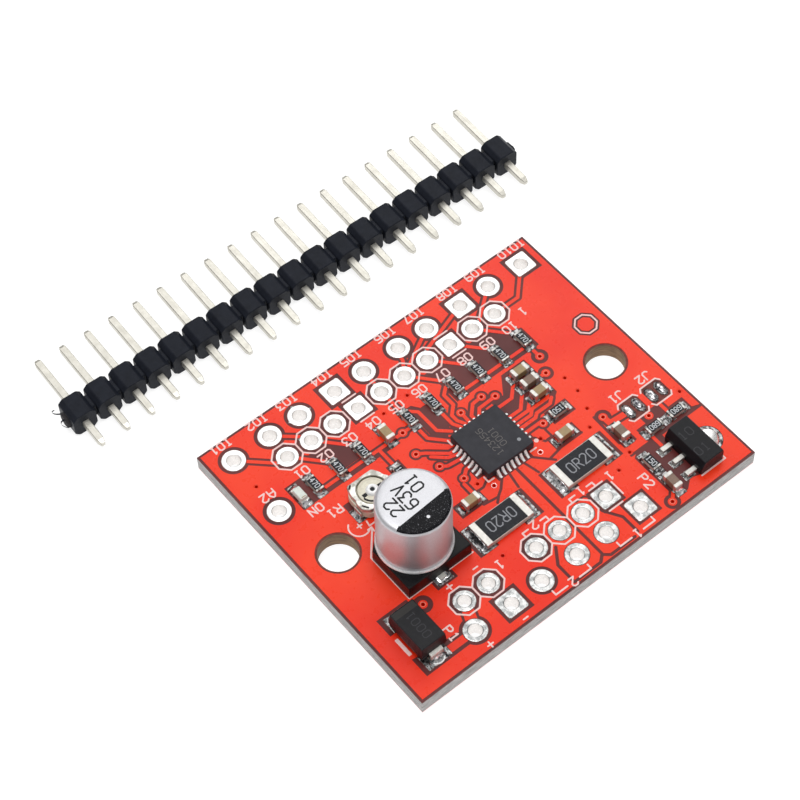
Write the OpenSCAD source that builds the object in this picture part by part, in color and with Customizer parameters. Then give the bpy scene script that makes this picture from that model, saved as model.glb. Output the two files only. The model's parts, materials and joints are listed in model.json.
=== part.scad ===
// Stepper driver module with its loose pin header strip, in millimetres.
// The origin is the centre of the board's underside, +Z is up, and the control
// pins run along the +Y edge.

/* [Board] */
// Length of the board along X
board_l = 36.1; // [35.6:0.1:38]
// Width of the board along Y
board_w = 29.7; // [29.4:0.1:32]
// Thickness of the board
board_t = 1.6; // [1.2:0.1:2]
// Diameter of the two plain mounting holes
mount_hole_d = 3.5; // [2.5:0.1:3.6]
// Distance between the mounting holes
mount_hole_pitch = 29.3; // [29.0:0.1:29.5]

/* [Pin rows] */
// Pitch of the pin header holes
pitch = 2.54; // [2.50:0.01:2.56]
// Pitch of the screw terminal holes
terminal_pitch = 3.5; // [3.45:0.01:3.52]
// How far each terminal hole is staggered off its pitch to grip the legs
stagger = 0.15; // [0.10:0.01:0.20]
// Distance of both header rows from the centre line
header_row_y = 10.02; // [9.95:0.01:10.05]
// Distance of both terminal rows from the centre line
terminal_row_y = 12.62; // [12.55:0.01:12.70]
// Bore of a header hole
header_hole_d = 1.14; // [1.12:0.01:1.15]
// Bore of a terminal hole
terminal_hole_d = 1.2; // [1.10:0.01:1.30]
// Width of a header pad
header_pad_d = 1.95; // [1.7:0.05:2.0]
// Width of a terminal pad
terminal_pad_d = 2.1; // [1.9:0.05:2.15]

/* [Driver chip] */
// Side of the square driver package
ic_size = 5; // [4.8:0.1:5]
// Height of the driver package
ic_h = 0.85; // [0.75:0.05:1.0]
// Pitch of the driver's contacts
ic_pitch = 0.5; // [0.45:0.01:0.5]

/* [Capacitor] */
// Diameter of the capacitor's can
cap_d = 6.3; // [5.8:0.1:6.4]
// Height of the capacitor above the board
cap_h = 7.7; // [5.4:0.1:8.0]
// Side of the capacitor's moulded base
cap_base = 6.6; // [6.5:0.1:6.7]

/* [Current trimmer] */
// Length of the trimmer's base
trim_l = 3.8; // [3.5:0.1:4.0]
// Diameter of the trimmer's rotor
trim_rotor_d = 2.5; // [2.2:0.1:2.6]
// Radial clearance of the rotor's hub in the base
trim_clearance = 0.05; // [0.03:0.01:0.08]

/* [Header strip] */
// Number of pins in the loose strip
strip_pins = 19; // [10:1:19]
// Reach of a long leg beyond the housing
long_leg = 5.4; // [5.0:0.1:6.1]
// Reach of a short leg beyond the housing
short_leg = 2.8; // [2.5:0.1:3.0]
// Side of a square pin
pin_w = 0.64; // [0.60:0.01:0.66]

/* [Hidden] */

fine = 48;                   // facets drawn on round features
top = board_t;               // height of the board's top face
plate_t = 0.05;              // thickness of a pad, a land or a barrel's wall
mask_t = 0.03;               // thickness of the solder mask on each face
mask_gap = 0.04;             // how far a mask opening clears its pad
mask_hole_margin = 0.2;      // bare ring round each mounting hole
print_t = 0.015;             // thickness of the printed legend
print_w = 0.15;              // width of a printed line
land_top = top + plate_t;    // height that the components stand at
seam = 0.01;                 // gap between a pin and its housing

// Hole centres along each row, from the +X end
control_header_x = [for (i = [0:9]) 10.70 - i * pitch];
motor_header_x = [for (i = [0:3]) 5.65 - i * pitch];
power_header_x = [for (i = [0:1]) -7.10 - i * pitch];
function terminal_x(first, count) =
    [for (i = [0:count - 1]) first - i * terminal_pitch + (i % 2 == 0 ? stagger : -stagger)];
control_terminal_x = terminal_x(15.81, 10);
motor_terminal_x = terminal_x(7.02, 4);
power_terminal_x = terminal_x(-7.03, 2);
test_point_at = [-15.92, 6.27];

// Which holes of each row have a square pad, counted from the +X end
control_header_square = [2, 6];
control_terminal_square = [0, 2, 6];
first_square = [0];
none_square = [];

// Through vias
via_bore_d = 0.3;
via_ring_d = 0.7;
vias = [
    [-15.95, 9.35], [-3.25, 8.15], [-0.55, 8.30], [-3.25, 5.62], [-3.75, 3.25], [-3.00, 1.05],
    [-2.20, -1.15], [-1.70, -2.30], [-0.75, -3.30], [4.35, -3.30], [5.25, -2.30], [6.42, -1.28],
    [1.80, 4.00], [4.17, 4.12], [5.12, 3.42], [10.72, 4.07], [9.98, 2.43], [10.88, 1.00],
    [10.85, -0.70], [10.25, -2.55], [9.17, -4.12], [10.70, -4.07], [10.05, -8.12], [8.18, -8.85],
    [17.40, -6.33], [13.75, -6.45], [9.50, -13.95], [-4.55, -8.83], [-12.40, -8.12]
];

// Driver package
ic_x = 1.76;
ic_y = -0.10;
ic_side = 7;                 // contacts on each side
ic_contact_w = 0.25;
ic_contact_l = 0.8;
ic_contact_out = 0.4;        // how far a contact's land runs out of the package
ic_paddle = 3.2;
ic_plate_t = 0.2;            // thickness of the lead frame

// Sense resistors, one each side of the driver's centre line
sense_dx = 4.38;
sense_y = -6.38;
sense_l = 5.0;
sense_w = 2.5;
sense_h = 0.55;
sense_end = 0.6;

// Capacitor
cap_x = -9.6;
cap_y = -3.7;
cap_base_h = 1.5;
cap_chamfer = 1.9;
cap_wall = 0.25;
cap_shoulder = 0.45;
cap_terminal_w = 0.7;

// Diode
diode_x = -14.6;
diode_y = -10.12;
diode_l = 4.3;
diode_w = 2.6;
diode_h = 2.1;
diode_lead_w = 1.45;
diode_lead_t = 0.2;

// Regulator
reg_x = 14.3;
reg_y = -11.35;
reg_l = 4.5;
reg_w = 2.5;
reg_h = 1.5;
reg_lead_pitch = 1.5;
reg_lead_w = 0.45;
reg_lead_t = 0.38;
reg_lead_out = 0.95;

// Trimmer
trim_x = -9.2;
trim_y = 2.25;
trim_w = 3.3;
trim_base_h = 0.75;
trim_shell_h = 0.5;
trim_hub_r = 0.45;
trim_well_r = trim_rotor_d / 2 + 0.1;
trim_slot_w = 0.36;
trim_slot_l = 2.0;
trim_eye_r = 0.55;           // raised eyelet at the rotor's centre

// Two-ended chip parts: [x, y, quarter turns], where 0 lies along X
chip_l = 1.6;
chip_w = 0.8;
chip_end = 0.32;
chip_skin = 0.02;            // how far an end stands proud of its body
resistor_h = 0.45;
capacitor_h = 0.8;
pull_up_y = 6.27;
pull_up_skipped = 6;         // this place holds a capacitor
chip_resistors = concat(
    [for (i = [0:9]) if (i != pull_up_skipped) [control_header_x[i], pull_up_y, 1]],
    [[8.12, -1.25, 0], [-5.92, 2.45, 1], [13.20, -7.70, 0], [15.70, -7.70, 0], [10.65, -10.10, 1]]
);
chip_capacitors = [
    [control_header_x[pull_up_skipped], pull_up_y, 1],
    [8.15, 3.80, 0], [8.13, 2.48, 0], [8.13, 1.15, 0], [6.95, -3.40, 0], [-3.35, -3.40, 0],
    [10.67, -6.30, 1], [10.63, -12.70, 1]
];
led_at = [-13.70, pull_up_y, 1];
led_h = 0.55;
chip_land_l = 0.95;
chip_land_dx = 0.80;

// Solder jumpers: two half-moon lands each
jumpers = [[13.27, -5.05], [15.85, -5.05]];
jumper_land_r = 0.75;
jumper_gap = 0.3;

// Loose header strip, lying on its side beyond the control edge
strip_at = [-0.15, 24.35];
strip_turn = -2.25;
housing_h = 2.5;
housing_chamfer = 0.5;
neck_w = 0.55;
neck_h = 1.5;
stub_l = 0.55;               // snapped-off neck at each end
leg_taper = 0.5;
leg_tip_w = 0.36;

// ---- helpers ----

// A box with its centre at x, y and its underside at z
module block(x, y, z, size) {
    translate([x - size[0] / 2, y - size[1] / 2, z]) cube(size);
}

// Lays children along a row of hole centres
module along(xs, y) {
    for (x = xs) translate([x, y, 0]) children();
}

// Children in the frame of a part at [x, y, quarter turns]
module at(p) {
    translate([p[0], p[1], 0]) rotate([0, 0, 90 * p[2]]) children();
}

module pad_shape(pad_d, square) {
    if (square) square(pad_d, center = true);
    else circle(d = pad_d, $fn = fine);
}

// A plated hole: a tube through the board with a pad on each face
module barrel(hole_d, pad_d, square) {
    difference() {
        union() {
            cylinder(d = hole_d + 2 * plate_t, h = top + plate_t, $fn = fine);
            translate([0, 0, top]) linear_extrude(plate_t) pad_shape(pad_d, square);
            linear_extrude(plate_t) pad_shape(pad_d, square);
        }
        translate([0, 0, -1]) cylinder(d = hole_d, h = top + 2, $fn = fine);
    }
}

// What the board gives up to a barrel
module barrel_cut(hole_d, pad_d, square) {
    translate([0, 0, -1]) cylinder(d = hole_d + 2 * plate_t, h = top + 2, $fn = fine);
    translate([0, 0, -1]) linear_extrude(1 + plate_t) pad_shape(pad_d, square);
}

function is_in(i, list) = len(search(i, list)) > 0;

module barrel_row(xs, y, hole_d, pad_d, squares) {
    for (i = [0:len(xs) - 1])
        translate([xs[i], y, 0]) barrel(hole_d, pad_d, is_in(i, squares));
}

// Openings in both faces' masks for a row of pads
module pad_row_openings(xs, y, pad_d, squares) {
    for (i = [0:len(xs) - 1])
        translate([xs[i], y, -1]) linear_extrude(top + 2)
            pad_shape(pad_d + 2 * mask_gap, is_in(i, squares));
}

module barrel_row_cut(xs, y, hole_d, pad_d, squares) {
    for (i = [0:len(xs) - 1])
        translate([xs[i], y, 0]) barrel_cut(hole_d, pad_d, is_in(i, squares));
}

// The body of a two-ended chip part, lying along X
module chip_body(l, w, h) {
    block(0, 0, land_top + chip_skin, [l - 2 * chip_skin, w, h - 2 * chip_skin]);
}

// The two plated ends that wrap a chip part's body
module chip_ends(l, w, h, end) {
    difference() {
        for (s = [-1, 1])
            block(s * (l - end) / 2, 0, land_top, [end, w + 2 * chip_skin, h]);
        chip_body(l, w, h);
    }
}

// A solder wedge rising from the land against the end face at x = reach
module fillet(reach, w, out, up) {
    for (s = [0, 1]) rotate([0, 0, 180 * s])
        translate([reach, w / 2, land_top]) rotate([90, 0, 0])
            linear_extrude(w) polygon([[0, 0], [out, 0], [0.4 * out, 0.3 * up], [0, up]]);
}

// A land of length l and width w from height z up by h, grown by g on each side
module land(x, y, l, w, z, h, g) {
    block(x, y, z, [l + 2 * g, w + 2 * g, h]);
}

module chip_land_pair(z, h, g) {
    for (s = [-1, 1]) land(s * chip_land_dx, 0, chip_land_l, 0.95, z, h, g);
}

// ---- board ----

module mounting_hole_cuts(d) {
    for (s = [-1, 1])
        translate([s * mount_hole_pitch / 2, 0, -1]) cylinder(d = d, h = board_t + 2, $fn = fine);
}

module pcb() {
    color("tan") difference() {
        block(0, 0, mask_t, [board_l, board_w, board_t - mask_t]);
        mounting_hole_cuts(mount_hole_d);
        barrel_row_cut(control_terminal_x, terminal_row_y, terminal_hole_d, terminal_pad_d,
            control_terminal_square);
        barrel_row_cut(control_header_x, header_row_y, header_hole_d, header_pad_d,
            control_header_square);
        barrel_row_cut(motor_terminal_x, -terminal_row_y, terminal_hole_d, terminal_pad_d,
            first_square);
        barrel_row_cut(motor_header_x, -header_row_y, header_hole_d, header_pad_d, first_square);
        barrel_row_cut(power_terminal_x, -terminal_row_y, terminal_hole_d, terminal_pad_d,
            first_square);
        barrel_row_cut(power_header_x, -header_row_y, header_hole_d, header_pad_d, none_square);
        translate(test_point_at) barrel_cut(terminal_hole_d, terminal_pad_d, false);
        for (v = vias) translate(v) barrel_cut(via_bore_d, via_ring_d, false);
    }
}

module pad_openings() {
    pad_row_openings(control_terminal_x, terminal_row_y, terminal_pad_d, control_terminal_square);
    pad_row_openings(control_header_x, header_row_y, header_pad_d, control_header_square);
    pad_row_openings(motor_terminal_x, -terminal_row_y, terminal_pad_d, first_square);
    pad_row_openings(motor_header_x, -header_row_y, header_pad_d, first_square);
    pad_row_openings(power_terminal_x, -terminal_row_y, terminal_pad_d, first_square);
    pad_row_openings(power_header_x, -header_row_y, header_pad_d, none_square);
    pad_row_openings([test_point_at[0]], test_point_at[1], terminal_pad_d, none_square);
}

// The mask on the top face, open at every pad, land and hole
module solder_mask_top() {
    color("orangered") difference() {
        block(0, 0, top, [board_l, board_w, mask_t]);
        mounting_hole_cuts(mount_hole_d + 2 * mask_hole_margin);
        pad_openings();
        component_land_shapes(top - 1, 2, mask_gap);
        for (j = jumpers) block(j[0], j[1], top - 1, [1.9, 1.9, 2]);
        for (v = vias) translate([v[0], v[1], 0]) cylinder(d = via_bore_d, h = top + 1, $fn = fine);
    }
}

// The mask on the underside, open at every plated hole
module solder_mask_bottom() {
    color("orangered") difference() {
        block(0, 0, 0, [board_l, board_w, mask_t]);
        mounting_hole_cuts(mount_hole_d + 2 * mask_hole_margin);
        pad_openings();
        for (v = vias) translate([v[0], v[1], -1])
            cylinder(d = via_ring_d + 2 * mask_gap, h = top + 1, $fn = fine);
    }
}

// ---- printed legend, without any lettering ----

// A printed line from a to b
module stroke(a, b) {
    d = b - a;
    translate([a[0], a[1], top + mask_t]) rotate([0, 0, atan2(d[1], d[0])])
        translate([-print_w / 2, -print_w / 2, 0]) cube([norm(d) + print_w, print_w, print_t]);
}

module strokes(points) {
    for (i = [0:len(points) - 2]) stroke(points[i], points[i + 1]);
}

// An octagon standing on a side, s across its flats
module octagon(s) {
    rotate([0, 0, 22.5]) circle(d = s / cos(22.5), $fn = 8);
}

// Frames round a row of header pads: octagons, or two bars where the pad is square
module pad_frames(xs, y, squares) {
    difference() {
        for (i = [0:len(xs) - 1]) if (!is_in(i, squares))
            translate([xs[i], y, top + mask_t]) linear_extrude(print_t) octagon(pitch + print_w);
        for (i = [0:len(xs) - 1]) if (!is_in(i, squares))
            translate([xs[i], y, top]) linear_extrude(1) octagon(pitch - print_w);
    }
    for (i = [0:len(xs) - 1], s = [-1, 1]) if (is_in(i, squares))
        stroke([xs[i] - 0.75, y + s * pitch / 2], [xs[i] + 0.75, y + s * pitch / 2]);
}

// A bracket that ties two pads of a motor coil together, open in its middle
module coil_bracket(x1, x2, y, drop) {
    mid = (x1 + x2) / 2;
    for (s = [-1, 1]) {
        end = s < 0 ? x1 : x2;
        strokes([[end, y + drop], [end, y], [mid + s * 0.75, y]]);
    }
}

module legend_print() {
    cap_left = cap_x - cap_base / 2;
    cap_low = cap_y - cap_base / 2;
    color("white") {
        pad_frames(control_header_x, header_row_y, control_header_square);
        pad_frames(motor_header_x, -header_row_y, first_square);
        pad_frames(power_header_x, -header_row_y, none_square);
        for (i = [0, 2]) {
            coil_bracket(motor_header_x[i + 1], motor_header_x[i], -8.30, -0.40);
            coil_bracket(motor_terminal_x[i + 1], motor_terminal_x[i], -14.30, 0.45);
        }
        strokes([[cap_left + 1.5, cap_y + 3.5], [cap_left, cap_y + 1.6], [cap_left, cap_low],
            [cap_x - 0.95, cap_low]]);
        stroke([cap_x + 0.95, cap_low], [cap_x + 3.4, cap_low]);
        for (j = jumpers, s = [-1, 1]) {
            stroke([j[0] - 0.85, j[1] + s * 1.06], [j[0] + 0.85, j[1] + s * 1.06]);
            for (t = [-1, 1]) stroke([j[0] + s * 1.06, j[1] + t * 0.55], [j[0] + s * 1.06, j[1] + t * 0.85]);
        }
        strokes([[ic_x - 2.62, ic_y - 2.05], [ic_x - 2.62, ic_y - 2.62], [ic_x - 2.05, ic_y - 2.62]]);
        stroke([ic_x + 2.1, ic_y - 2.62], [ic_x + 2.55, ic_y - 2.62]);
        for (x = [diode_x - 1.55, diode_x - 1.40]) stroke([x, diode_y - 0.85], [x, diode_y + 0.85]);
        stroke([reg_x - 1.2, reg_y - 2.4], [reg_x + 1.6, reg_y - 2.4]);
    }
}

module via_barrels() {
    color("indianred") for (v = vias) translate(v) difference() {
        union() {
            cylinder(d = via_bore_d + 2 * plate_t, h = top, $fn = fine);
            cylinder(d = via_ring_d, h = plate_t, $fn = fine);
        }
        translate([0, 0, -1]) cylinder(d = via_bore_d, h = top + 2, $fn = fine);
    }
}

module test_point() {
    color("silver") translate(test_point_at) barrel(terminal_hole_d, terminal_pad_d, false);
}

module control_terminal_barrels() {
    color("silver") barrel_row(control_terminal_x, terminal_row_y, terminal_hole_d,
        terminal_pad_d, control_terminal_square);
}

module control_header_barrels() {
    color("silver") barrel_row(control_header_x, header_row_y, header_hole_d, header_pad_d,
        control_header_square);
}

module motor_terminal_barrels() {
    color("silver") barrel_row(motor_terminal_x, -terminal_row_y, terminal_hole_d,
        terminal_pad_d, first_square);
}

module motor_header_barrels() {
    color("silver") barrel_row(motor_header_x, -header_row_y, header_hole_d, header_pad_d,
        first_square);
}

module power_terminal_barrels() {
    color("silver") barrel_row(power_terminal_x, -terminal_row_y, terminal_hole_d,
        terminal_pad_d, first_square);
}

module power_header_barrels() {
    color("silver") barrel_row(power_header_x, -header_row_y, header_hole_d, header_pad_d,
        none_square);
}

// Every tinned land from height z up by h, grown by g on each side
module component_land_shapes(z, h, g) {
    for (p = concat(chip_resistors, chip_capacitors, [led_at])) at(p) chip_land_pair(z, h, g);
    for (s = [-1, 1], e = [-1, 1])
        land(ic_x + s * sense_dx + e * (sense_l / 2 - 0.1), sense_y, 1.45, 2.95, z, h, g);
    for (e = [-1, 1]) {
        land(diode_x, diode_y + e * 2.2, 2.4, 1.5, z, h, g);
        land(cap_x, cap_y + e * 2.55, 1.6, 3.0, z, h, g);
    }
    for (i = [-1:1])
        land(reg_x - reg_w / 2 - 0.75, reg_y + i * reg_lead_pitch, 1.1, 0.8, z, h, g);
    land(reg_x + 0.4, reg_y, 2.6, 2.0, z, h, g);
    translate([reg_x + reg_w / 2 + 0.35, reg_y, z]) cylinder(r = 1.3 + g, h = h, $fn = fine);
    for (s = [-1, 1])
        land(trim_x + s * (trim_l / 2 + 0.05), trim_y - 0.3 + s * 0.2, 0.9, 1.4, z, h, g);
    at([ic_x, ic_y, 0]) {
        land(0, 0, ic_paddle, ic_paddle, z, h, g);
        for (q = [0:3], i = [0:ic_side - 1]) rotate([0, 0, 90 * q])
            land((ic_size + ic_contact_out - ic_contact_l) / 2 + 0.2,
                (i - (ic_side - 1) / 2) * ic_pitch, ic_contact_l, ic_contact_w, z, h, g);
    }
}

module component_lands() {
    color("gainsboro") component_land_shapes(top, plate_t, 0);
}

module jumper_lands() {
    color("silver") for (j = jumpers, s = [0, 1])
        translate([j[0], j[1], top]) rotate([0, 0, 180 * s]) linear_extrude(0.18)
            intersection() {
                translate([jumper_gap / 2, -jumper_land_r]) square([1.0, 2 * jumper_land_r]);
                translate([0.1, 0]) circle(r = jumper_land_r + 0.05, $fn = fine);
            }
}

module solder_fillets() {
    color("silver") {
        for (p = chip_resistors) at(p) fillet(chip_l / 2, chip_w, 0.38, 0.32);
        for (p = concat(chip_capacitors, [led_at])) at(p) fillet(chip_l / 2, chip_w, 0.38, 0.45);
        for (s = [-1, 1]) at([ic_x + s * sense_dx, sense_y, 0])
            fillet(sense_l / 2, sense_w, 0.5, 0.4);
    }
}

// ---- driver chip ----

module driver_mould() {
    color("dimgray") difference() {
        block(ic_x, ic_y, land_top + 0.01, [ic_size, ic_size, ic_h - 0.01]);
        driver_frame_shapes();
        driver_die_shape();
    }
}

module driver_contact_shapes() {
    for (q = [0:3], i = [0:ic_side - 1]) translate([ic_x, ic_y, 0]) rotate([0, 0, 90 * q])
        block((ic_size - 0.55) / 2, (i - (ic_side - 1) / 2) * ic_pitch, land_top,
            [0.55, ic_contact_w, ic_plate_t]);
}

module driver_paddle_shape() {
    block(ic_x, ic_y, land_top, [ic_paddle, ic_paddle, ic_plate_t]);
}

module driver_die_shape() {
    block(ic_x, ic_y, land_top + ic_plate_t, [2.6, 2.3, 0.25]);
}

module driver_frame_shapes() {
    driver_contact_shapes();
    driver_paddle_shape();
}

module driver_contacts() { color("silver") driver_contact_shapes(); }
module driver_paddle() { color("silver") driver_paddle_shape(); }
module driver_die() { color("slategray") driver_die_shape(); }

// ---- electrolytic capacitor ----

// Outline of the moulded base, with two cut corners at the positive end
module cap_base_outline() {
    h = cap_base / 2;
    c = cap_chamfer;
    polygon([[-h, -h], [h, -h], [h, h - c], [h - c, h], [c - h, h], [-h, h - c]]);
}

module capacitor_base() {
    color("black") difference() {
        translate([cap_x, cap_y, land_top]) linear_extrude(cap_base_h - plate_t) cap_base_outline();
        translate([cap_x, cap_y, top + cap_base_h - 0.4]) cylinder(d = cap_d, h = 1, $fn = fine);
        capacitor_terminal_shapes();
    }
}

can_bottom = top + cap_base_h - 0.4;
can_top = top + cap_h;
bung_h = 1.3;

module capacitor_can() {
    r = cap_d / 2;
    s = cap_shoulder;
    color("lightgray") translate([cap_x, cap_y, 0]) rotate_extrude($fn = fine) difference() {
        union() {
            translate([0, can_bottom]) square([r, can_top - can_bottom - s]);
            translate([0, can_top - s]) square([r - s, s]);
            translate([r - s, can_top - s]) intersection() {
                circle(r = s, $fn = fine);
                square(s);
            }
        }
        translate([-1, can_bottom - 1])
            square([1 + r - cap_wall, can_top - cap_wall - can_bottom + 1]);
    }
}

module capacitor_bung() {
    color("darkslategray") difference() {
        translate([cap_x, cap_y, can_bottom])
            cylinder(d = cap_d - 2 * cap_wall, h = bung_h, $fn = fine);
        capacitor_terminal_shapes();
    }
}

module capacitor_winding() {
    color("tan") translate([cap_x, cap_y, can_bottom + bung_h])
        cylinder(d = cap_d - 2 * cap_wall - 0.2, h = cap_h - cap_base_h - bung_h, $fn = fine);
}

// Each terminal is a lead wire with a flat foot that runs out under the base
module capacitor_terminal_shapes() {
    for (s = [-1, 1]) {
        block(cap_x, cap_y + s * (cap_base / 2 - 0.85), land_top, [cap_terminal_w, 2.6, 0.2]);
        translate([cap_x, cap_y + s * 1.25, land_top])
            cylinder(d = 0.6, h = can_bottom + bung_h - land_top, $fn = fine);
    }
}

module capacitor_terminals() { color("silver") capacitor_terminal_shapes(); }

// ---- sense resistors ----

module sense_resistor_bodies() {
    color("black") for (s = [-1, 1]) at([ic_x + s * sense_dx, sense_y, 0])
        chip_body(sense_l, sense_w, sense_h);
}

module sense_resistor_ends() {
    color("silver") for (s = [-1, 1]) at([ic_x + s * sense_dx, sense_y, 0])
        chip_ends(sense_l, sense_w, sense_h, sense_end);
}

// ---- diode ----

// The outline of a lead: out of the mould, down, and back under it
module diode_lead_outline() {
    t = diode_lead_t;
    polygon([
        [0.8, 1.0], [diode_l / 2 + 0.25, 1.0], [diode_l / 2 + 0.35, 0.9], [diode_l / 2 + 0.35, 0],
        [diode_l / 2 - 0.9, 0], [diode_l / 2 - 0.9, t], [diode_l / 2 + 0.15, t],
        [diode_l / 2 + 0.15, 1.0 - t], [0.8, 1.0 - t]
    ]);
}

module diode_lead_shapes() {
    for (q = [1, 3]) translate([diode_x, diode_y, land_top]) rotate([0, 0, 90 * q])
        rotate([90, 0, 0]) translate([0, 0, -diode_lead_w / 2])
            linear_extrude(diode_lead_w) diode_lead_outline();
}

module diode_die_shape() {
    block(diode_x, diode_y, land_top + 0.75, [1.3, 1.3, 0.3]);
}

module diode_mould() {
    draft = 0.12;
    low = diode_lead_t + 0.02;
    color("black") difference() {
        translate([diode_x - diode_w / 2, diode_y, land_top]) rotate([90, 0, 90])
            linear_extrude(diode_w) polygon([
                [-diode_l / 2 + draft, low], [diode_l / 2 - draft, low], [diode_l / 2, 0.9],
                [diode_l / 2 - draft, diode_h], [-diode_l / 2 + draft, diode_h], [-diode_l / 2, 0.9]
            ]);
        diode_lead_shapes();
        diode_die_shape();
    }
}

module diode_leads() { color("silver") diode_lead_shapes(); }
module diode_die() { color("slategray") diode_die_shape(); }

// ---- regulator ----

reg_body_z = land_top + 0.02;

module regulator_lead_shapes() {
    for (i = [-1:1])
        block(reg_x - reg_w / 2 - reg_lead_out / 2 + 0.3, reg_y + i * reg_lead_pitch, land_top,
            [reg_lead_out + 0.6, reg_lead_w, reg_lead_t]);
}

module regulator_tab_shape() {
    translate([reg_x - 0.4, reg_y - 0.8, land_top]) cube([reg_w / 2 + 0.75, 1.6, reg_lead_t]);
    translate([reg_x + reg_w / 2 + 0.35, reg_y, land_top])
        cylinder(r = 0.8, h = reg_lead_t, $fn = fine);
}

module regulator_mould() {
    c = 0.35;
    h = reg_w / 2;
    color("black") difference() {
        translate([reg_x, reg_y + reg_l / 2, reg_body_z]) rotate([90, 0, 0]) linear_extrude(reg_l)
            polygon([[-h, 0], [h, 0], [h, reg_h - c], [h - 0.08, reg_h], [c - h, reg_h], [-h, 0.8]]);
        regulator_lead_shapes();
        regulator_tab_shape();
    }
}

module regulator_leads() { color("silver") regulator_lead_shapes(); }
module regulator_tab() { color("silver") regulator_tab_shape(); }

// ---- current trimmer ----

trim_base_z = land_top + 0.1;
trim_floor = trim_base_z + trim_base_h;      // the rotor's seat
trim_top = trim_floor + trim_shell_h;

module trimmer_base() {
    color("linen") difference() {
        block(trim_x, trim_y, trim_base_z, [trim_l, trim_w, trim_base_h]);
        translate([trim_x, trim_y, trim_base_z - 1])
            cylinder(r = trim_hub_r + trim_clearance, h = trim_base_h + 2, $fn = fine);
        trimmer_terminal_shapes();
    }
}

// The raised shell round the rotor, open in the middle
module trimmer_shell() {
    c = 0.5;
    x = trim_l / 2;
    y = trim_w / 2;
    color("ivory") translate([trim_x, trim_y, trim_floor]) linear_extrude(trim_shell_h)
        difference() {
            polygon([
                [-x, -y + c], [c - x, -y], [x - c, -y], [x, -y + c], [x, y - c], [x - c, y],
                [c - x, y], [-x, y - c]
            ]);
            circle(r = trim_well_r, $fn = fine);
        }
}

// A foot under each end, with a tab that turns up the outside of the base
module trimmer_terminal_shapes() {
    for (s = [-1, 1]) {
        block(trim_x + s * (trim_l / 2 - 0.35), trim_y - 0.3 + s * 0.2, land_top, [0.9, 0.9, 0.1]);
        block(trim_x + s * (trim_l / 2 + 0.05), trim_y - 0.3 + s * 0.2, land_top, [0.1, 0.9, 0.7]);
    }
}

module trimmer_terminals() { color("silver") trimmer_terminal_shapes(); }

module trimmer_rotor() {
    lift = 0.03;
    disc_z = trim_floor + lift;
    disc_h = 0.42;
    color("cornsilk") translate([trim_x, trim_y, 0]) difference() {
        union() {
            translate([0, 0, trim_base_z + 0.05])
                cylinder(r = trim_hub_r, h = disc_z - trim_base_z, $fn = fine);
            translate([0, 0, disc_z]) cylinder(d = trim_rotor_d, h = disc_h, $fn = fine);
            translate([0, 0, disc_z]) cylinder(r = trim_eye_r, h = disc_h + 0.2, $fn = fine);
        }
        difference() {
            block(0, 0, disc_z + disc_h - 0.2, [trim_slot_l, trim_slot_w, 0.3]);
            translate([0, 0, disc_z]) cylinder(r = trim_eye_r, h = 1, $fn = fine);
        }
        translate([0, 0, disc_z + 0.1]) cylinder(r = 0.18, h = 1, $fn = fine);
    }
}

// ---- power light ----

led_base_h = 0.22;

module led_base() {
    color("whitesmoke") at(led_at)
        block(0, 0, land_top + chip_skin, [chip_l - 2 * chip_skin, chip_w, led_base_h - 2 * chip_skin]);
}

module led_ends() {
    color("silver") at(led_at) chip_ends(chip_l, chip_w, led_base_h, 0.3);
}

module led_lens() {
    color("white") at(led_at) block(0, 0, land_top + led_base_h, [1.1, chip_w, led_h - led_base_h]);
}

// ---- chip resistors and capacitors ----

module chip_resistor_bodies() {
    color("black") for (p = chip_resistors) at(p) chip_body(chip_l, chip_w, resistor_h);
}

module chip_resistor_ends() {
    color("silver") for (p = chip_resistors) at(p) chip_ends(chip_l, chip_w, resistor_h, chip_end);
}

module chip_capacitor_bodies() {
    color("tan") for (p = chip_capacitors) at(p) chip_body(chip_l, chip_w, capacitor_h);
}

module chip_capacitor_ends() {
    color("silver") for (p = chip_capacitors) at(p)
        chip_ends(chip_l, chip_w, capacitor_h, chip_end + 0.03);
}

// ---- loose header strip ----

// Children with the row along X and the legs along Y, at the height of the pins
module strip_frame() {
    translate([strip_at[0], strip_at[1], housing_h / 2]) rotate([0, 0, strip_turn]) children();
}

function strip_x(i) = (i - (strip_pins - 1) / 2) * pitch;

// End view of one segment: a square block with its four long edges cut off
module segment_outline() {
    x = (pitch - neck_w) / 2 + 0.12;
    z = housing_h / 2;
    c = housing_chamfer;
    polygon([[c - x, -z], [x - c, -z], [x, c - z], [x, z - c], [x - c, z], [c - x, z],
        [-x, z - c], [-x, c - z]]);
}

module header_housing() {
    row_l = (strip_pins - 1) * pitch + pitch + 2 * stub_l - neck_w;
    color("dimgray") strip_frame() difference() {
        union() {
            for (i = [0:strip_pins - 1]) translate([strip_x(i), housing_h / 2, 0])
                rotate([90, 0, 0]) linear_extrude(housing_h) segment_outline();
            translate([-row_l / 2, -neck_h / 2, -neck_h / 2]) cube([row_l, neck_h, neck_h]);
        }
        for (i = [0:strip_pins - 1]) translate([strip_x(i), 0, 0])
            cube([pin_w + 2 * seam, 2 * housing_h, pin_w + 2 * seam], center = true);
    }
}

// One square pin along Y, with a four-sided point at each end
module header_pin() {
    y_long = housing_h / 2 + long_leg;
    y_short = -housing_h / 2 - short_leg;
    w = pin_w / 2;
    t = leg_tip_w / 2;
    side = [
        [-w, y_short + leg_taper], [-t, y_short], [t, y_short], [w, y_short + leg_taper],
        [w, y_long - leg_taper], [t, y_long], [-t, y_long], [-w, y_long - leg_taper]
    ];
    intersection() {
        translate([0, 0, -w]) linear_extrude(pin_w) polygon(side);
        rotate([0, 90, 0]) translate([0, 0, -w]) linear_extrude(pin_w) polygon(side);
    }
}

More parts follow.
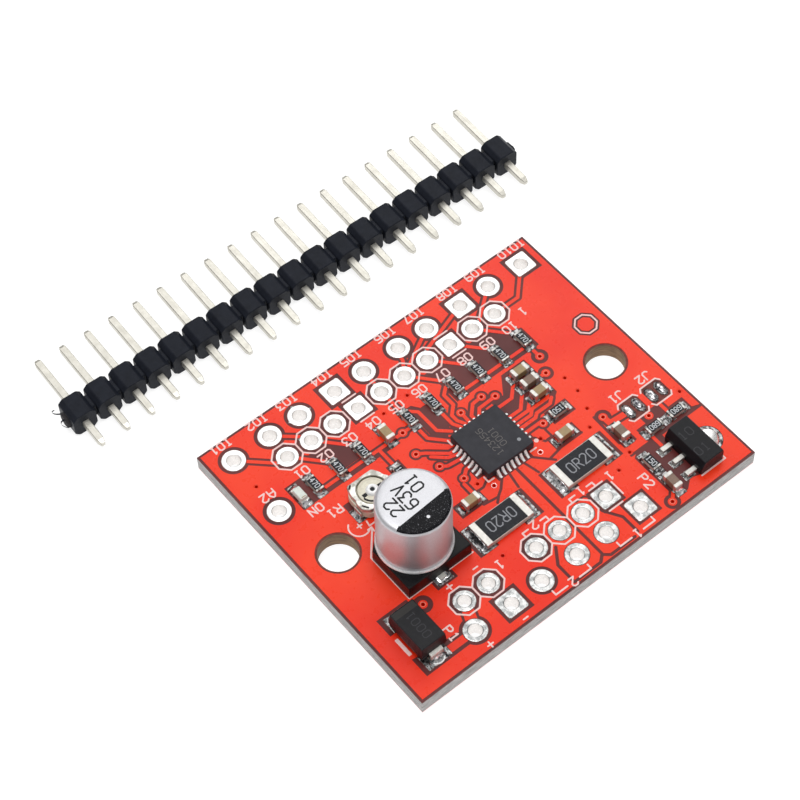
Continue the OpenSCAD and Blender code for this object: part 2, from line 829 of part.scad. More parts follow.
module header_pins() {
    color("silver") strip_frame() for (i = [0:strip_pins - 1]) translate([strip_x(i), 0, 0])
        header_pin();
}

pcb();
solder_mask_top();
solder_mask_bottom();
legend_print();
via_barrels();
test_point();
control_terminal_barrels();
control_header_barrels();
motor_terminal_barrels();
motor_header_barrels();
power_terminal_barrels();
power_header_barrels();
component_lands();
jumper_lands();
solder_fillets();
driver_mould();
driver_contacts();
driver_paddle();
driver_die();
capacitor_base();
capacitor_can();
capacitor_bung();
capacitor_winding();
capacitor_terminals();
sense_resistor_bodies();
sense_resistor_ends();
diode_mould();
diode_leads();
diode_die();
regulator_mould();
regulator_leads();
regulator_tab();
trimmer_base();
trimmer_shell();
trimmer_terminals();
trimmer_rotor();
led_base();
led_lens();
led_ends();
chip_resistor_bodies();
chip_resistor_ends();
chip_capacitor_bodies();
chip_capacitor_ends();
header_housing();
header_pins();
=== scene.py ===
import json
import math
import random

import bpy
import numpy as np
from mathutils import Matrix, Vector
from mathutils.geometry import delaunay_2d_cdt


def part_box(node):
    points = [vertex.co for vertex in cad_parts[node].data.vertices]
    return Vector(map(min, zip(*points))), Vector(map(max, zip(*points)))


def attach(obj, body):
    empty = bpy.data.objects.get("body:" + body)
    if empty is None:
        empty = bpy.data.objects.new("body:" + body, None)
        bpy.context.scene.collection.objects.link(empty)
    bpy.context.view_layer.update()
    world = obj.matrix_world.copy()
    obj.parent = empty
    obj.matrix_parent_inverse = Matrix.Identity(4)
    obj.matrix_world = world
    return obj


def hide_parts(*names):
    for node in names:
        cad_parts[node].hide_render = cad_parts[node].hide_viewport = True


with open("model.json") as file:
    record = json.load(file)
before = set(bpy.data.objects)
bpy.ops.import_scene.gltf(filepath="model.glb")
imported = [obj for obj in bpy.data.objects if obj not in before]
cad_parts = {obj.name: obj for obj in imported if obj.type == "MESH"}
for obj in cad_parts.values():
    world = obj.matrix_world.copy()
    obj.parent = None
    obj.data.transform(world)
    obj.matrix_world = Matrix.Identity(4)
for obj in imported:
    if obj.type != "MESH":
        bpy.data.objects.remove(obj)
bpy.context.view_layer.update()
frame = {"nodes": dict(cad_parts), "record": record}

MM = 0.001                     # one millimetre in metres; every size below is in millimetres
RECORD = frame["record"]
NODES = frame["nodes"]
PITCH = 2.54                   # between header pins
TERMINAL_PITCH = 3.5
SHIFT = 0.15                   # of alternate terminal holes, along the row
random.seed(7)


# ---------------------------------------------------------------- frame

def box_mm(node):
    low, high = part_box(node)
    return Vector(low) / MM, Vector(high) / MM


def centre_mm(node):
    low, high = box_mm(node)
    return (low + high) / 2


def mount(name):
    return [m for m in RECORD["mounts"] if m["name"] == name][0]


def row_ends(name):
    """The x of the first and last hole of a pin row, from the +X end, and the row's y."""
    m = mount(name)
    half = m["dims"]["spacing_x_mm"] / 2
    x, y, _ = [v / MM for v in m["pos_m"]]
    return x + half, x - half, y


def even_row(name, count):
    first, last, y = row_ends(name)
    return [first + (last - first) * i / (count - 1) for i in range(count)], y


def staggered_row(name, count):
    """Terminal holes sit on an even pitch, with alternate holes shifted along the row."""
    first, _, y = row_ends(name)
    xs = [first - SHIFT - TERMINAL_PITCH * i + (SHIFT if i % 2 == 0 else -SHIFT) for i in range(count)]
    return xs, y


# x of each hole from the +X end, and y of its row: C control, M motor, P power; H header, T terminal
CH, CH_Y = even_row("control_header_row", 10)
MH, MH_Y = even_row("motor_header_row", 4)
PH, PH_Y = even_row("power_header_row", 2)
CT, CT_Y = staggered_row("control_terminal_row", 10)
MT, MT_Y = staggered_row("motor_terminal_row", 4)
PT, PT_Y = staggered_row("power_terminal_row", 2)
TEST_POINT = centre_mm("test_point")
PCB_LOW, PCB_HIGH = box_mm("pcb")
TOP = PCB_HIGH.z               # top of the laminate
MASK_Z = TOP + 0.030           # mask over copper
GAP_Z = TOP + 0.006            # mask over bare laminate
LAND_Z = TOP + 0.05            # top of the tinned lands
IC = centre_mm("driver_mould")
CAP = centre_mm("capacitor_can")
DIODE = centre_mm("diode_mould")
REG = centre_mm("regulator_mould")
TRIM = centre_mm("trimmer_rotor")
LED = centre_mm("led_lens")
PULL_Y = LED.y


# ---------------------------------------------------------------- materials

def set_inputs(node, **values):
    for key, value in values.items():
        node.inputs[key.replace("_", " ")].default_value = value


class Mat:
    """A small builder for procedural materials, in object coordinates measured in millimetres."""

    def __init__(self, name, **shader):
        self.m = bpy.data.materials.new(name)
        self.m.use_nodes = True
        self.nt = self.m.node_tree
        self.shader = self.nt.nodes["Principled BSDF"]
        set_inputs(self.shader, **shader)
        coords = self.nt.nodes.new("ShaderNodeTexCoord")
        self.space = self.nt.nodes.new("ShaderNodeVectorMath")
        self.space.operation = "SCALE"
        self.space.inputs["Scale"].default_value = 1 / MM
        self.nt.links.new(coords.outputs["Object"], self.space.inputs[0])

    def link(self, a, b):
        self.nt.links.new(a, b)

    def stretched(self, scale):
        node = self.nt.nodes.new("ShaderNodeVectorMath")
        node.operation = "MULTIPLY"
        node.inputs[1].default_value = scale
        self.link(self.space.outputs[0], node.inputs[0])
        return node.outputs[0]

    def noise(self, scale, detail=3.0, rough=0.55, stretch=None):
        node = self.nt.nodes.new("ShaderNodeTexNoise")
        set_inputs(node, Scale=scale, Detail=detail, Roughness=rough)
        self.link(self.stretched(stretch) if stretch else self.space.outputs[0], node.inputs["Vector"])
        return node.outputs["Fac"]

    def cells(self, scale):
        node = self.nt.nodes.new("ShaderNodeTexVoronoi")
        set_inputs(node, Scale=scale)
        self.link(self.space.outputs[0], node.inputs["Vector"])
        return node.outputs["Distance"]

    def axis(self, name):
        node = self.nt.nodes.new("ShaderNodeSeparateXYZ")
        self.link(self.space.outputs[0], node.inputs[0])
        return node.outputs[name]

    def ramp(self, source, low, high, from_low=0.3, from_high=0.7):
        node = self.nt.nodes.new("ShaderNodeMapRange")
        set_inputs(node, From_Min=from_low, From_Max=from_high, To_Min=low, To_Max=high)
        self.link(source, node.inputs["Value"])
        return node.outputs["Result"]

    def colour(self, source, a, b, from_low=0.3, from_high=0.7):
        node = self.nt.nodes.new("ShaderNodeMix")
        node.data_type = "RGBA"
        node.inputs[6].default_value = (*a, 1)
        node.inputs[7].default_value = (*b, 1)
        self.link(self.ramp(source, 0.0, 1.0, from_low, from_high), node.inputs[0])
        return node.outputs[2]

    def mixed(self, source, a, b):
        """Blends two colour outputs by a 0..1 value."""
        node = self.nt.nodes.new("ShaderNodeMix")
        node.data_type = "RGBA"
        self.link(source, node.inputs[0])
        self.link(a, node.inputs[6])
        self.link(b, node.inputs[7])
        return node.outputs[2]

    def base(self, output):
        self.link(output, self.shader.inputs["Base Color"])
        return self

    def rough(self, output):
        self.link(output, self.shader.inputs["Roughness"])
        return self

    def bump(self, height, depth, previous=None):
        """depth is the height of the relief in millimetres."""
        node = self.nt.nodes.new("ShaderNodeBump")
        set_inputs(node, Strength=1.0, Distance=depth * MM)
        self.link(height, node.inputs["Height"])
        if previous is not None:
            self.link(previous, node.inputs["Normal"])
        self.link(node.outputs["Normal"], self.shader.inputs["Normal"])
        return node.outputs["Normal"]


def srgb(r, g, b):
    """A display colour in 0..255 as linear light."""
    def linear(v):
        v /= 255
        return v / 12.92 if v <= 0.04045 else ((v + 0.055) / 1.055) ** 2.4
    return linear(r), linear(g), linear(b)


def tin_material(name, tint, low, high, grain, metal=1.0, shade=0.80):
    """Plated metal. shade is the tone of its duller patches."""
    mat = Mat(name, Metallic=metal)
    mat.base(mat.colour(mat.noise(2.2, 4), [c * shade for c in tint], tint))
    mat.rough(mat.ramp(mat.noise(5.0, 4), low, high))
    ripple = mat.bump(mat.noise(grain, 3), 0.008)
    mat.bump(mat.noise(grain * 5, 2), 0.0010, ripple)
    return mat.m


def patched_metal(name, dark, bright, grain, low, high):
    """Reflowed tin whose base colour switches by noise between dark and bright patches. In the lands and the
    solder joints the near-black patches are painted reflection of dark surroundings and the bright ones are
    painted glints.
    """
    mat = Mat(name, Metallic=1.0)
    mat.base(mat.colour(mat.noise(grain, 3, 0.6), dark, bright, 0.40, 0.60))
    mat.rough(mat.ramp(mat.noise(5.0, 4), low, high))
    ripple = mat.bump(mat.noise(grain, 3), 0.02)
    mat.bump(mat.noise(grain * 5, 2), 0.0015, ripple)
    return mat.m


def mould_material(name, tone, depth, low, high, shine=0.26):
    """Moulded plastic with fine pits and a slow swell. low and high bound its roughness."""
    mat = Mat(name, Specular_IOR_Level=shine)
    mat.base(mat.colour(mat.noise(1.3, 5), [c * 0.82 for c in tone], [c * 1.2 for c in tone]))
    mat.rough(mat.ramp(mat.noise(3.5, 4), low, high))
    pits = mat.bump(mat.noise(38, 3, 0.7), depth)
    mat.bump(mat.noise(1.1, 2), depth * 1.5, pits)
    return mat.m


def mask_material(name, tone, dark, rough_low, rough_high):
    """Glossy solder mask: a slow change of tone, fine orange peel and a few specks of dust."""
    mat = Mat(name, Specular_IOR_Level=0.30, Coat_Weight=0.10, Coat_Roughness=0.15)
    slow = mat.colour(mat.noise(0.16, 2), dark, tone, 0.35, 0.65)
    dust = mat.ramp(mat.cells(0.8), 0.20, 0.0, 0.0, 0.035)
    speck = mat.colour(dust, tone, [min(1.0, c * 1.5 + 0.06) for c in tone], 0.0, 1.0)
    mat.base(mat.mixed(dust, slow, speck))
    mat.rough(mat.ramp(mat.noise(1.2, 5), rough_low, rough_high))
    peel = mat.bump(mat.noise(0.9, 2), 0.0016)
    mat.bump(mat.noise(7, 2), 0.0003, peel)
    return mat.m


def laminate_material(name):
    """Cut glass-epoxy: level fibre layers, a dark line at the top face and a sawn texture."""
    mat = Mat(name, Roughness=0.8)
    layers = mat.noise(1.0, 5, 0.7, (0.8, 0.8, 14.0))
    body = mat.colour(layers, srgb(120, 116, 116), srgb(226, 222, 220))
    edge = mat.ramp(mat.axis("Z"), 0.0, 1.0, TOP - 0.16, TOP - 0.02)
    stain = mat.colour(mat.noise(3, 3), srgb(96, 44, 38), srgb(128, 70, 60))
    mat.base(mat.mixed(edge, body, stain))
    cut = mat.bump(mat.noise(7, 4, 0.7, (1.0, 1.0, 0.35)), 0.05)
    mat.bump(mat.noise(30, 3, 0.7, (1.0, 1.0, 0.2)), 0.012, cut)
    return mat.m


def hole_wall_material(name):
    """Drilled glass-epoxy, ringed by its fibre layers."""
    mat = Mat(name, Roughness=0.6)
    rings = mat.noise(1.0, 4, 0.6, (1.0, 1.0, 9.0))
    mat.base(mat.colour(rings, srgb(96, 66, 38), srgb(168, 132, 92)))
    mat.bump(mat.noise(1.0, 4, 0.6, (2.5, 2.5, 12.0)), 0.03)
    return mat.m


def ink_material(name, tone):
    """Matt print with a slightly uneven tone."""
    mat = Mat(name, Roughness=0.7)
    mat.base(mat.colour(mat.noise(5, 4), [c * 0.86 for c in tone], tone))
    mat.bump(mat.noise(18, 3), 0.004)
    return mat.m


def aluminium_material(name):
    """Drawn can: fine lines round the can, a soft sheen and faint rub marks."""
    mat = Mat(name, Metallic=0.8)
    mat.base(mat.colour(mat.noise(14, 4, 0.7), (0.54, 0.54, 0.56), (0.70, 0.70, 0.73)))
    mat.rough(mat.ramp(mat.noise(1.0, 4, 0.6, (0.7, 0.7, 3.0)), 0.42, 0.52))
    mat.bump(mat.noise(1.0, 3, 0.6, (6.0, 6.0, 0.5)), 0.0012)
    return mat.m


def speckled_material(name):
    """Black ink with pale specks in its base colour: painted glints."""
    mat = Mat(name, Specular_IOR_Level=0.14, Roughness=0.3)
    glint = mat.noise(9, 3, 0.75)
    mat.base(mat.colour(glint, (0.004, 0.004, 0.006), (0.40, 0.40, 0.44), 0.60, 0.74))
    mat.bump(mat.noise(13, 3, 0.75), 0.008)
    return mat.m


def pin_material(name):
    """Drawn and plated wire: its streaks run along Y, the pins' own axis."""
    mat = Mat(name, Metallic=1.0)
    mat.base(mat.colour(mat.noise(1.5, 4), (0.57, 0.55, 0.49), (0.69, 0.67, 0.605)))
    mat.rough(mat.ramp(mat.noise(1.0, 4, 0.6, (9.0, 0.6, 9.0)), 0.36, 0.50))
    mat.bump(mat.noise(1.0, 3, 0.6, (6.0, 0.8, 6.0)), 0.0004)
    return mat.m


def ceramic_material(name, tone):
    """A matt, fine-grained material."""
    mat = Mat(name)
    mat.base(mat.colour(mat.noise(4, 4), [c * 0.82 for c in tone], tone))
    mat.rough(mat.ramp(mat.noise(9, 3), 0.35, 0.6))
    mat.bump(mat.noise(26, 3), 0.006)
    return mat.m


MASK = mask_material("solder_mask_copper", srgb(248, 58, 20), srgb(240, 42, 10), 0.24, 0.36)
MASK_GAP = mask_material("solder_mask_bare", srgb(104, 38, 36), srgb(82, 26, 26), 0.28, 0.42)
# painted shade: the near-black red down inside each via
VIA_WELL = ceramic_material("via_well", srgb(70, 14, 10))
# the pale pink lip of a ringed via: its plating, and partly a painted highlight
VIA_RIM = ceramic_material("via_rim", srgb(252, 160, 138))
LAMINATE = laminate_material("laminate_edge")
HOLE_WALL = hole_wall_material("drilled_wall")
INK = ink_material("legend_ink", srgb(252, 214, 210))
TIN = tin_material("tinned_plating", (0.97, 0.965, 0.95), 0.32, 0.50, 2.2)
TIN_GREY = patched_metal("tinned_plating_grey", (0.34, 0.35, 0.35), (0.70, 0.70, 0.69), 2.0, 0.24, 0.42)
BARREL = tin_material("barrel_plating", (0.93, 0.895, 0.87), 0.22, 0.38, 1.6, 1.0, 0.92)
# painted reflection: the joints' near-black patches stand for dark surroundings mirrored in the solder, the
# bright ones are painted glints
SOLDER = patched_metal("solder", (0.07, 0.07, 0.08), (0.86, 0.86, 0.86), 2.6, 0.12, 0.30)
# painted reflection: the lands' near-black patches stand for dark surroundings mirrored in the tin, the
# bright ones are painted glints
LAND = patched_metal("tinned_land", (0.05, 0.045, 0.045), (0.52, 0.52, 0.52), 3.4, 0.20, 0.42)
CHIP_END = patched_metal("resistor_end", (0.16, 0.16, 0.15), (0.66, 0.65, 0.62), 3.0, 0.35, 0.55)
TAB_TIN = tin_material("tab_tin", (0.84, 0.84, 0.83), 0.20, 0.36, 1.6)
CONTACT_TIN = tin_material("contact_tin", (0.98, 0.98, 0.97), 0.30, 0.46, 3.0, 0.15, 0.86)
TERMINATION = tin_material("plated_end", (0.76, 0.745, 0.70), 0.45, 0.62, 4.0)
CHIP_MOULD = mould_material("driver_moulding", srgb(46, 46, 52), 0.006, 0.42, 0.58)
BLACK_MOULD = mould_material("black_moulding", srgb(12, 12, 17), 0.009, 0.32, 0.50)
DARK_BASE = mould_material("capacitor_base_plastic", srgb(4, 4, 7), 0.004, 0.26, 0.40)
RESISTOR_GLAZE = mould_material("resistor_glaze", srgb(26, 28, 34), 0.004, 0.16, 0.30)
HOUSING = mould_material("header_plastic", srgb(29, 32, 40), 0.004, 0.30, 0.46, 0.10)
TORN_PLASTIC = mould_material("torn_plastic", srgb(46, 44, 46), 0.03, 0.6, 0.8)
ALUMINA = ceramic_material("alumina", srgb(206, 202, 192))
CAP_CERAMIC = ceramic_material("capacitor_ceramic", srgb(168, 144, 104))
BROWN_CERAMIC = ceramic_material("capacitor_ceramic_brown", srgb(134, 108, 92))
CREAM = ceramic_material("trimmer_cream", srgb(232, 226, 206))
COLLAR = patched_metal("trimmer_collar_plating", (0.40, 0.39, 0.35), (0.86, 0.85, 0.80), 1.1, 0.40, 0.60)
LAMP = ceramic_material("lamp_resin", srgb(228, 234, 226))
ALUMINIUM = aluminium_material("can_aluminium")
# painted highlight: a near-white, glossier copy of the can's aluminium for the bead at its foot
BEAD_PAINTED_HIGHLIGHT = tin_material("can_bead_painted_highlight", (0.97, 0.97, 0.98), 0.26, 0.36, 1.2, 0.35)
PRINT_SPECKLED = speckled_material("can_black_print")
PIN = pin_material("pin_plating")
PRINT_GREY = ink_material("marking_grey", srgb(150, 152, 158))
PRINT_FAINT = ink_material("marking_faint", srgb(106, 102, 100))
PRINT_DIM = ink_material("marking_dim", srgb(50, 50, 54))
BAND = ink_material("marking_band", srgb(42, 40, 38))
PRINT_WHITE = ink_material("marking_white", srgb(212, 216, 220))
PRINT_BLACK = ink_material("marking_black", srgb(16, 17, 20))
HIDDEN_METAL = tin_material("frame_copper", (0.78, 0.50, 0.38), 0.25, 0.45, 4.0)
SILICON = ceramic_material("silicon", srgb(84, 88, 98))
RUBBER = mould_material("rubber", srgb(34, 34, 36), 0.02, 0.6, 0.8)
PAPER = ceramic_material("wound_paper", srgb(176, 156, 118))


# ---------------------------------------------------------------- mesh helpers

CORNERS = ((-1, -1), (1, -1), (1, 1), (-1, 1))


def mesh_object(name, verts, faces, mats, body, smooth=False, tags=None, replaces=()):
    """Makes a piece from millimetre vertices. tags gives each face's material number."""
    mesh = bpy.data.meshes.new(name)
    mesh.from_pydata([tuple(c * MM for c in v) for v in verts], [], [tuple(f) for f in faces])
    for mat in (mats if isinstance(mats, (list, tuple)) else [mats]):
        mesh.materials.append(mat)
    if tags is not None:
        mesh.polygons.foreach_set("material_index", tags)
    if smooth:
        mesh.polygons.foreach_set("use_smooth", [True] * len(mesh.polygons))
    mesh.validate()
    mesh.update()
    obj = bpy.data.objects.new(name, mesh)
    bpy.context.scene.collection.objects.link(obj)
    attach(obj, body)
    if replaces:
        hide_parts(*replaces)
    return obj


class Builder:
    """Gathers vertices and faces of one piece, with a material number for each face."""

    def __init__(self):
        self.v, self.f, self.t = [], [], []
        self.matrix = Matrix.Identity(4)

    def add(self, verts, faces, tag=0):
        start = len(self.v)
        self.v.extend([tuple(self.matrix @ Vector(p)) for p in verts])
        self.f.extend([[start + i for i in face] for face in faces])
        self.t.extend([tag] * len(faces))

    def loft(self, rings, tag=0, cap_start=True, cap_end=True, closed=False):
        """Joins rings of equally many points with quads, and caps the open ends."""
        n = len(rings[0])
        verts = [p for ring in rings for p in ring]
        faces = []
        count = len(rings)
        for r in range(count if closed else count - 1):
            a, b = r * n, ((r + 1) % count) * n
            for i in range(n):
                j = (i + 1) % n
                faces.append([a + i, a + j, b + j, b + i])
        if cap_start and not closed:
            faces.append(list(range(n))[::-1])
        if cap_end and not closed:
            faces.append([(count - 1) * n + i for i in range(n)])
        self.add(verts, faces, tag)

    def sheet(self, rows, tag=0):
        """An open grid of quads over rows of equally many points."""
        n = len(rows[0])
        faces = [[r * n + k, r * n + k + 1, (r + 1) * n + k + 1, (r + 1) * n + k]
                 for r in range(len(rows) - 1) for k in range(n - 1)]
        self.add([p for row in rows for p in row], faces, tag)

    def slab(self, outline, z0, z1, bevel=0.0, tag=0, draft=0.0, low_bevel=0.0):
        """An upright prism over a convex outline, with its top edge bevelled and its walls drafted."""
        def ring(inset, z):
            return [(x, y, z) for x, y in inset_outline(outline, inset)]
        rings = []
        if low_bevel:
            rings += [ring(low_bevel, z0), ring(0, z0 + low_bevel)]
        else:
            rings += [ring(0, z0)]
        if bevel:
            rings += [ring(draft, z1 - bevel), ring(draft + bevel * 0.3, z1 - bevel * 0.3),
                      ring(draft + bevel, z1)]
        else:
            rings += [ring(draft, z1)]
        self.loft(rings, tag)

    def box(self, x, y, z0, size, bevel=0.0, tag=0, draft=0.0):
        outline = [(x + a * size[0] / 2, y + b * size[1] / 2) for a, b in CORNERS]
        self.slab(outline, z0, z0 + size[2], bevel, tag, draft)

    def make(self, name, mats, body, slot, smooth=False, replaces=()):
        return mesh_object(name, self.v, self.f, mats, body, smooth, self.t, replaces)


def inset_outline(points, d):
    """A convex, counter-clockwise outline moved in by d."""
    if not d:
        return list(points)
    out = []
    n = len(points)
    for i in range(n):
        p0, p1, p2 = Vector(points[i - 1]), Vector(points[i]), Vector(points[(i + 1) % n])
        a, b = (p1 - p0).normalized(), (p2 - p1).normalized()
        na, nb = Vector((-a.y, a.x)), Vector((-b.y, b.x))
        m = (na + nb)
        m = m / max(0.2, m.dot(na))
        q = p1 + m * d
        out.append((q.x, q.y))
    return out


def arc_points(x, y, r, angles):
    """Points round x, y at angles in degrees."""
    return [(x + r * math.cos(math.radians(a)), y + r * math.sin(math.radians(a))) for a in angles]


def round_rect(x, y, w, h, r, steps=4):
    pts = []
    for cx, cy, a0 in ((1, 1, 0), (-1, 1, 90), (-1, -1, 180), (1, -1, 270)):
        pts += arc_points(x + cx * (w / 2 - r), y + cy * (h / 2 - r), r,
                          [a0 + 90 * k / steps for k in range(steps + 1)])
    return pts


def circle(x, y, r, n=48):
    return arc_points(x, y, r, [360 * i / n for i in range(n)])


def turn(x, y, degrees=0.0, z=0.0):
    """A frame at x, y, z turned about the upright."""
    return Matrix.Translation((x, y, z)) @ Matrix.Rotation(math.radians(degrees), 4, "Z")


def revolve(builder, profile, x, y, tag=0, n=64, cap_start=True, cap_end=True):
    """Turns a profile of (radius, height) round the upright through x, y."""
    rings = [[(px, py, z) for px, py in circle(x, y, r, n)] for r, z in profile]
    builder.loft(rings, tag, cap_start, cap_end)


# ---------------------------------------------------------------- flat regions

class Stroke:
    """A line of round-ended segments, a polygon or a disc, as a region of the plane."""

    def __init__(self, points, r=None):
        self.p = [Vector((q[0], q[1])) for q in points]
        self.r = r

    def outlines(self):
        if self.r is None:
            return [[tuple(q) for q in self.p]]
        if len(self.p) == 1:
            return [circle(self.p[0].x, self.p[0].y, self.r, max(16, int(self.r * 28)))]
        loops = []
        for a, b in zip(self.p, self.p[1:]):
            d = math.atan2(b.y - a.y, b.x - a.x)
            loop = []
            for c, start in ((b, d - math.pi / 2), (a, d + math.pi / 2)):
                loop += arc_points(c.x, c.y, self.r, [math.degrees(start) + 30 * k for k in range(7)])
            loops.append(loop)
        return loops

    def inside(self, q):
        hit = np.zeros(len(q), bool)
        if self.r is None:
            return in_loops(q, [[tuple(v) for v in self.p]])
        if len(self.p) == 1:
            return ((q - np.array(self.p[0])) ** 2).sum(1) < self.r ** 2
        for a, b in zip(self.p, self.p[1:]):
            a, d = np.array(a), np.array(b - a)
            t = np.clip(((q - a) @ d) / (d @ d), 0, 1)
            hit |= ((q - a - t[:, None] * d) ** 2).sum(1) < self.r ** 2
        return hit


def in_loops(q, loops):
    """Even-odd test of points against closed loops."""
    odd = np.zeros(len(q), bool)
    for loop in loops:
        pts = np.array(loop, float)
        nxt = np.roll(pts, -1, 0)
        for (x0, y0), (x1, y1) in zip(pts, nxt):
            if y0 == y1:
                continue
            cross = (q[:, 1] > min(y0, y1)) & (q[:, 1] <= max(y0, y1))
            x = x0 + (q[:, 1] - y0) * (x1 - x0) / (y1 - y0)
            odd ^= cross & (q[:, 0] < x)
    return odd


def any_inside(q, strokes):
    hit = np.zeros(len(q), bool)
    for s in strokes:
        hit |= s.inside(q)
    return hit


def triangulate(loops):
    """Triangles of the plane that keep every edge of the loops: (points, triangles)."""
    pts, edges = [], []
    for loop in loops:
        start = len(pts)
        pts.extend([Vector((round(p[0], 5), round(p[1], 5))) for p in loop])
        edges.extend([(start + i, start + (i + 1) % len(loop)) for i in range(len(loop))])
    verts, _, tris, *_ = delaunay_2d_cdt(pts, edges, [], 1, 1e-4)
    out = []
    for face in tris:
        for i in range(1, len(face) - 1):
            out.append((face[0], face[i], face[i + 1]))
    return np.array([tuple(v) for v in verts]), np.array(out)


def relief(name, loops, level, tag_of, foot, mats, body, replaces=()):
    """A skin over the plane. level(q) gives each triangle's height, or NaN where there is none.
    Walls join neighbours of unlike height and drop to foot at an open edge."""
    pts, tris = triangulate(loops)
    a, b, c = pts[tris[:, 0]], pts[tris[:, 1]], pts[tris[:, 2]]
    area = (b[:, 0] - a[:, 0]) * (c[:, 1] - a[:, 1]) - (b[:, 1] - a[:, 1]) * (c[:, 0] - a[:, 0])
    tris = np.where((area < 0)[:, None], tris[:, ::-1], tris)
    heights = level((a + b + c) / 3)
    keep = ~np.isnan(heights) & (abs(area) > 1e-9)
    tris, heights = tris[keep], heights[keep]
    index, verts, faces, tags = {}, [], [], []

    def vert(i, z):
        key = (int(i), round(float(z), 4))
        if key not in index:
            index[key] = len(verts)
            verts.append((pts[i][0], pts[i][1], z))
        return index[key]

    edge_of = {}
    for tri, z in zip(tris, heights):
        faces.append([vert(i, z) for i in tri])
        tags.append(tag_of(z))
        for i, j in ((0, 1), (1, 2), (2, 0)):
            edge_of[(tri[i], tri[j])] = z
    for (i, j), z in edge_of.items():
        other = edge_of.get((j, i))
        low = foot if other is None else other
        if other is None or z > other + 1e-6:
            faces.append([vert(j, z), vert(i, z), vert(i, low), vert(j, low)])
            tags.append(tag_of(z))
    return mesh_object(name, verts, faces, mats, body, False, tags, replaces)


def printed(name, strokes, z0, z1, mats, body="board", replaces=()):
    """One clean raised print made from overlapping strokes."""
    loops = [loop for s in strokes for loop in s.outlines()]

    def level(q):
        return np.where(any_inside(q, strokes), z1, np.nan)
    return relief(name, loops, level, lambda z: 0, z0, mats, body, replaces)


# Plain characters as strokes on a grid 4 wide and 6 high
GLYPHS = {
    "0": [[(0, 1), (0, 5), (1, 6), (3, 6), (4, 5), (4, 1), (3, 0), (1, 0), (0, 1)]],
    "1": [[(1, 5), (2, 6), (2, 0)], [(1, 0), (3, 0)]],
    "2": [[(0, 5), (1, 6), (3, 6), (4, 5), (4, 4), (0, 0), (4, 0)]],
    "3": [[(0, 6), (4, 6), (2, 3.6), (3, 3.6), (4, 2.6), (4, 1), (3, 0), (1, 0), (0, 1)]],
    "4": [[(3, 0), (3, 6), (0, 2), (4, 2)]],
    "5": [[(4, 6), (0, 6), (0, 3.5), (3, 3.5), (4, 2.5), (4, 1), (3, 0), (0, 0)]],
    "6": [[(4, 6), (1, 6), (0, 5), (0, 1), (1, 0), (3, 0), (4, 1), (4, 2.5), (3, 3.4), (0, 3.4)]],
    "7": [[(0, 6), (4, 6), (1.5, 0)]],
    "8": [[(1, 3.3), (0, 4.2), (0, 5.2), (1, 6), (3, 6), (4, 5.2), (4, 4.2), (3, 3.3), (1, 3.3),
           (0, 2.4), (0, 1), (1, 0), (3, 0), (4, 1), (4, 2.4), (3, 3.3)]],
    "9": [[(0, 0), (3, 0), (4, 1), (4, 5), (3, 6), (1, 6), (0, 5), (0, 3.6), (1, 2.8), (4, 2.8)]],
    "A": [[(0, 0), (0, 4), (1.5, 6), (2.5, 6), (4, 4), (4, 0)], [(0, 2.4), (4, 2.4)]],
    "I": [[(1, 6), (3, 6)], [(2, 6), (2, 0)], [(1, 0), (3, 0)]],
    "J": [[(4, 6), (4, 1), (3, 0), (1, 0), (0, 1)]],
    "N": [[(0, 0), (0, 6), (4, 0), (4, 6)]],
    "O": [[(0, 1), (0, 5), (1, 6), (3, 6), (4, 5), (4, 1), (3, 0), (1, 0), (0, 1)]],
    "P": [[(0, 0), (0, 6), (3, 6), (4, 5), (4, 4), (3, 3), (0, 3)]],
    "R": [[(0, 0), (0, 6), (3, 6), (4, 5), (4, 4), (3, 3), (0, 3)], [(2, 3), (4, 0)]],
    "V": [[(0, 6), (2, 0), (4, 6)]],
    "+": [[(0, 3), (4, 3)], [(2, 5), (2, 1)]],
    "-": [[(0.3, 3), (3.7, 3)]],
}


def text(words, x, y, height, degrees=0.0, line=0.075, spread=1.0):
    """Strokes of a line of characters, centred at x, y and turned by degrees."""
    k = height / 6
    step = 5.8 * spread
    width = (len(words) * step - 1.8 * spread) * k
    spin = Matrix.Rotation(math.radians(degrees), 2)
    out = []
    for i, ch in enumerate(words):
        for path in GLYPHS[ch]:
            pts = []
            for px, py in path:
                q = spin @ Vector(((i * step + px * spread) * k - width / 2, (py - 3) * k))
                pts.append((x + q.x, y + q.y))
            out.append(Stroke(pts, line))
    return out


# ---------------------------------------------------------------- board

def face_loops(node, z, tolerance=0.004):
    """The closed outlines of a CAD node's level face at height z."""
    mesh = NODES[node].data
    seen = {}
    for poly in mesh.polygons:
        if abs(poly.normal.z) < 0.99 or abs(poly.center.z / MM - z) > tolerance:
            continue
        keys = [tuple(round(c / MM, 4) for c in mesh.vertices[i].co[:2]) for i in poly.vertices]
        for p, q in zip(keys, keys[1:] + keys[:1]):
            if (q, p) in seen:
                seen[(q, p)] -= 1
            else:
                seen[(p, q)] = seen.get((p, q), 0) + 1
    follow = {p: q for (p, q), count in seen.items() if count > 0}
    loops = []
    while follow:
        start, here = next(iter(follow.items()))
        loop = [start]
        del follow[start]
        while here != start and here in follow:
            loop.append(here)
            here = follow.pop(here)
        loops.append(loop)
    return loops


HALF_L = PCB_HIGH.x
HALF_W = PCB_HIGH.y
CLEAR = 0.22                   # width of the bare line beside a trace
WIRE = 0.16                    # half width of a trace

DRIVER_SIDE = 5.0
CONTACT_PITCH = 0.5
IC_LEFT = IC.x - DRIVER_SIDE / 2
IC_TOP = IC.y + DRIVER_SIDE / 2
IC_LOW = IC.y - DRIVER_SIDE / 2
CONTACT_X = [IC.x + CONTACT_PITCH * (i - 3) for i in range(7)]
LOW_LAND = PULL_Y - 0.66       # y of the trace through the pull-ups' lower lands
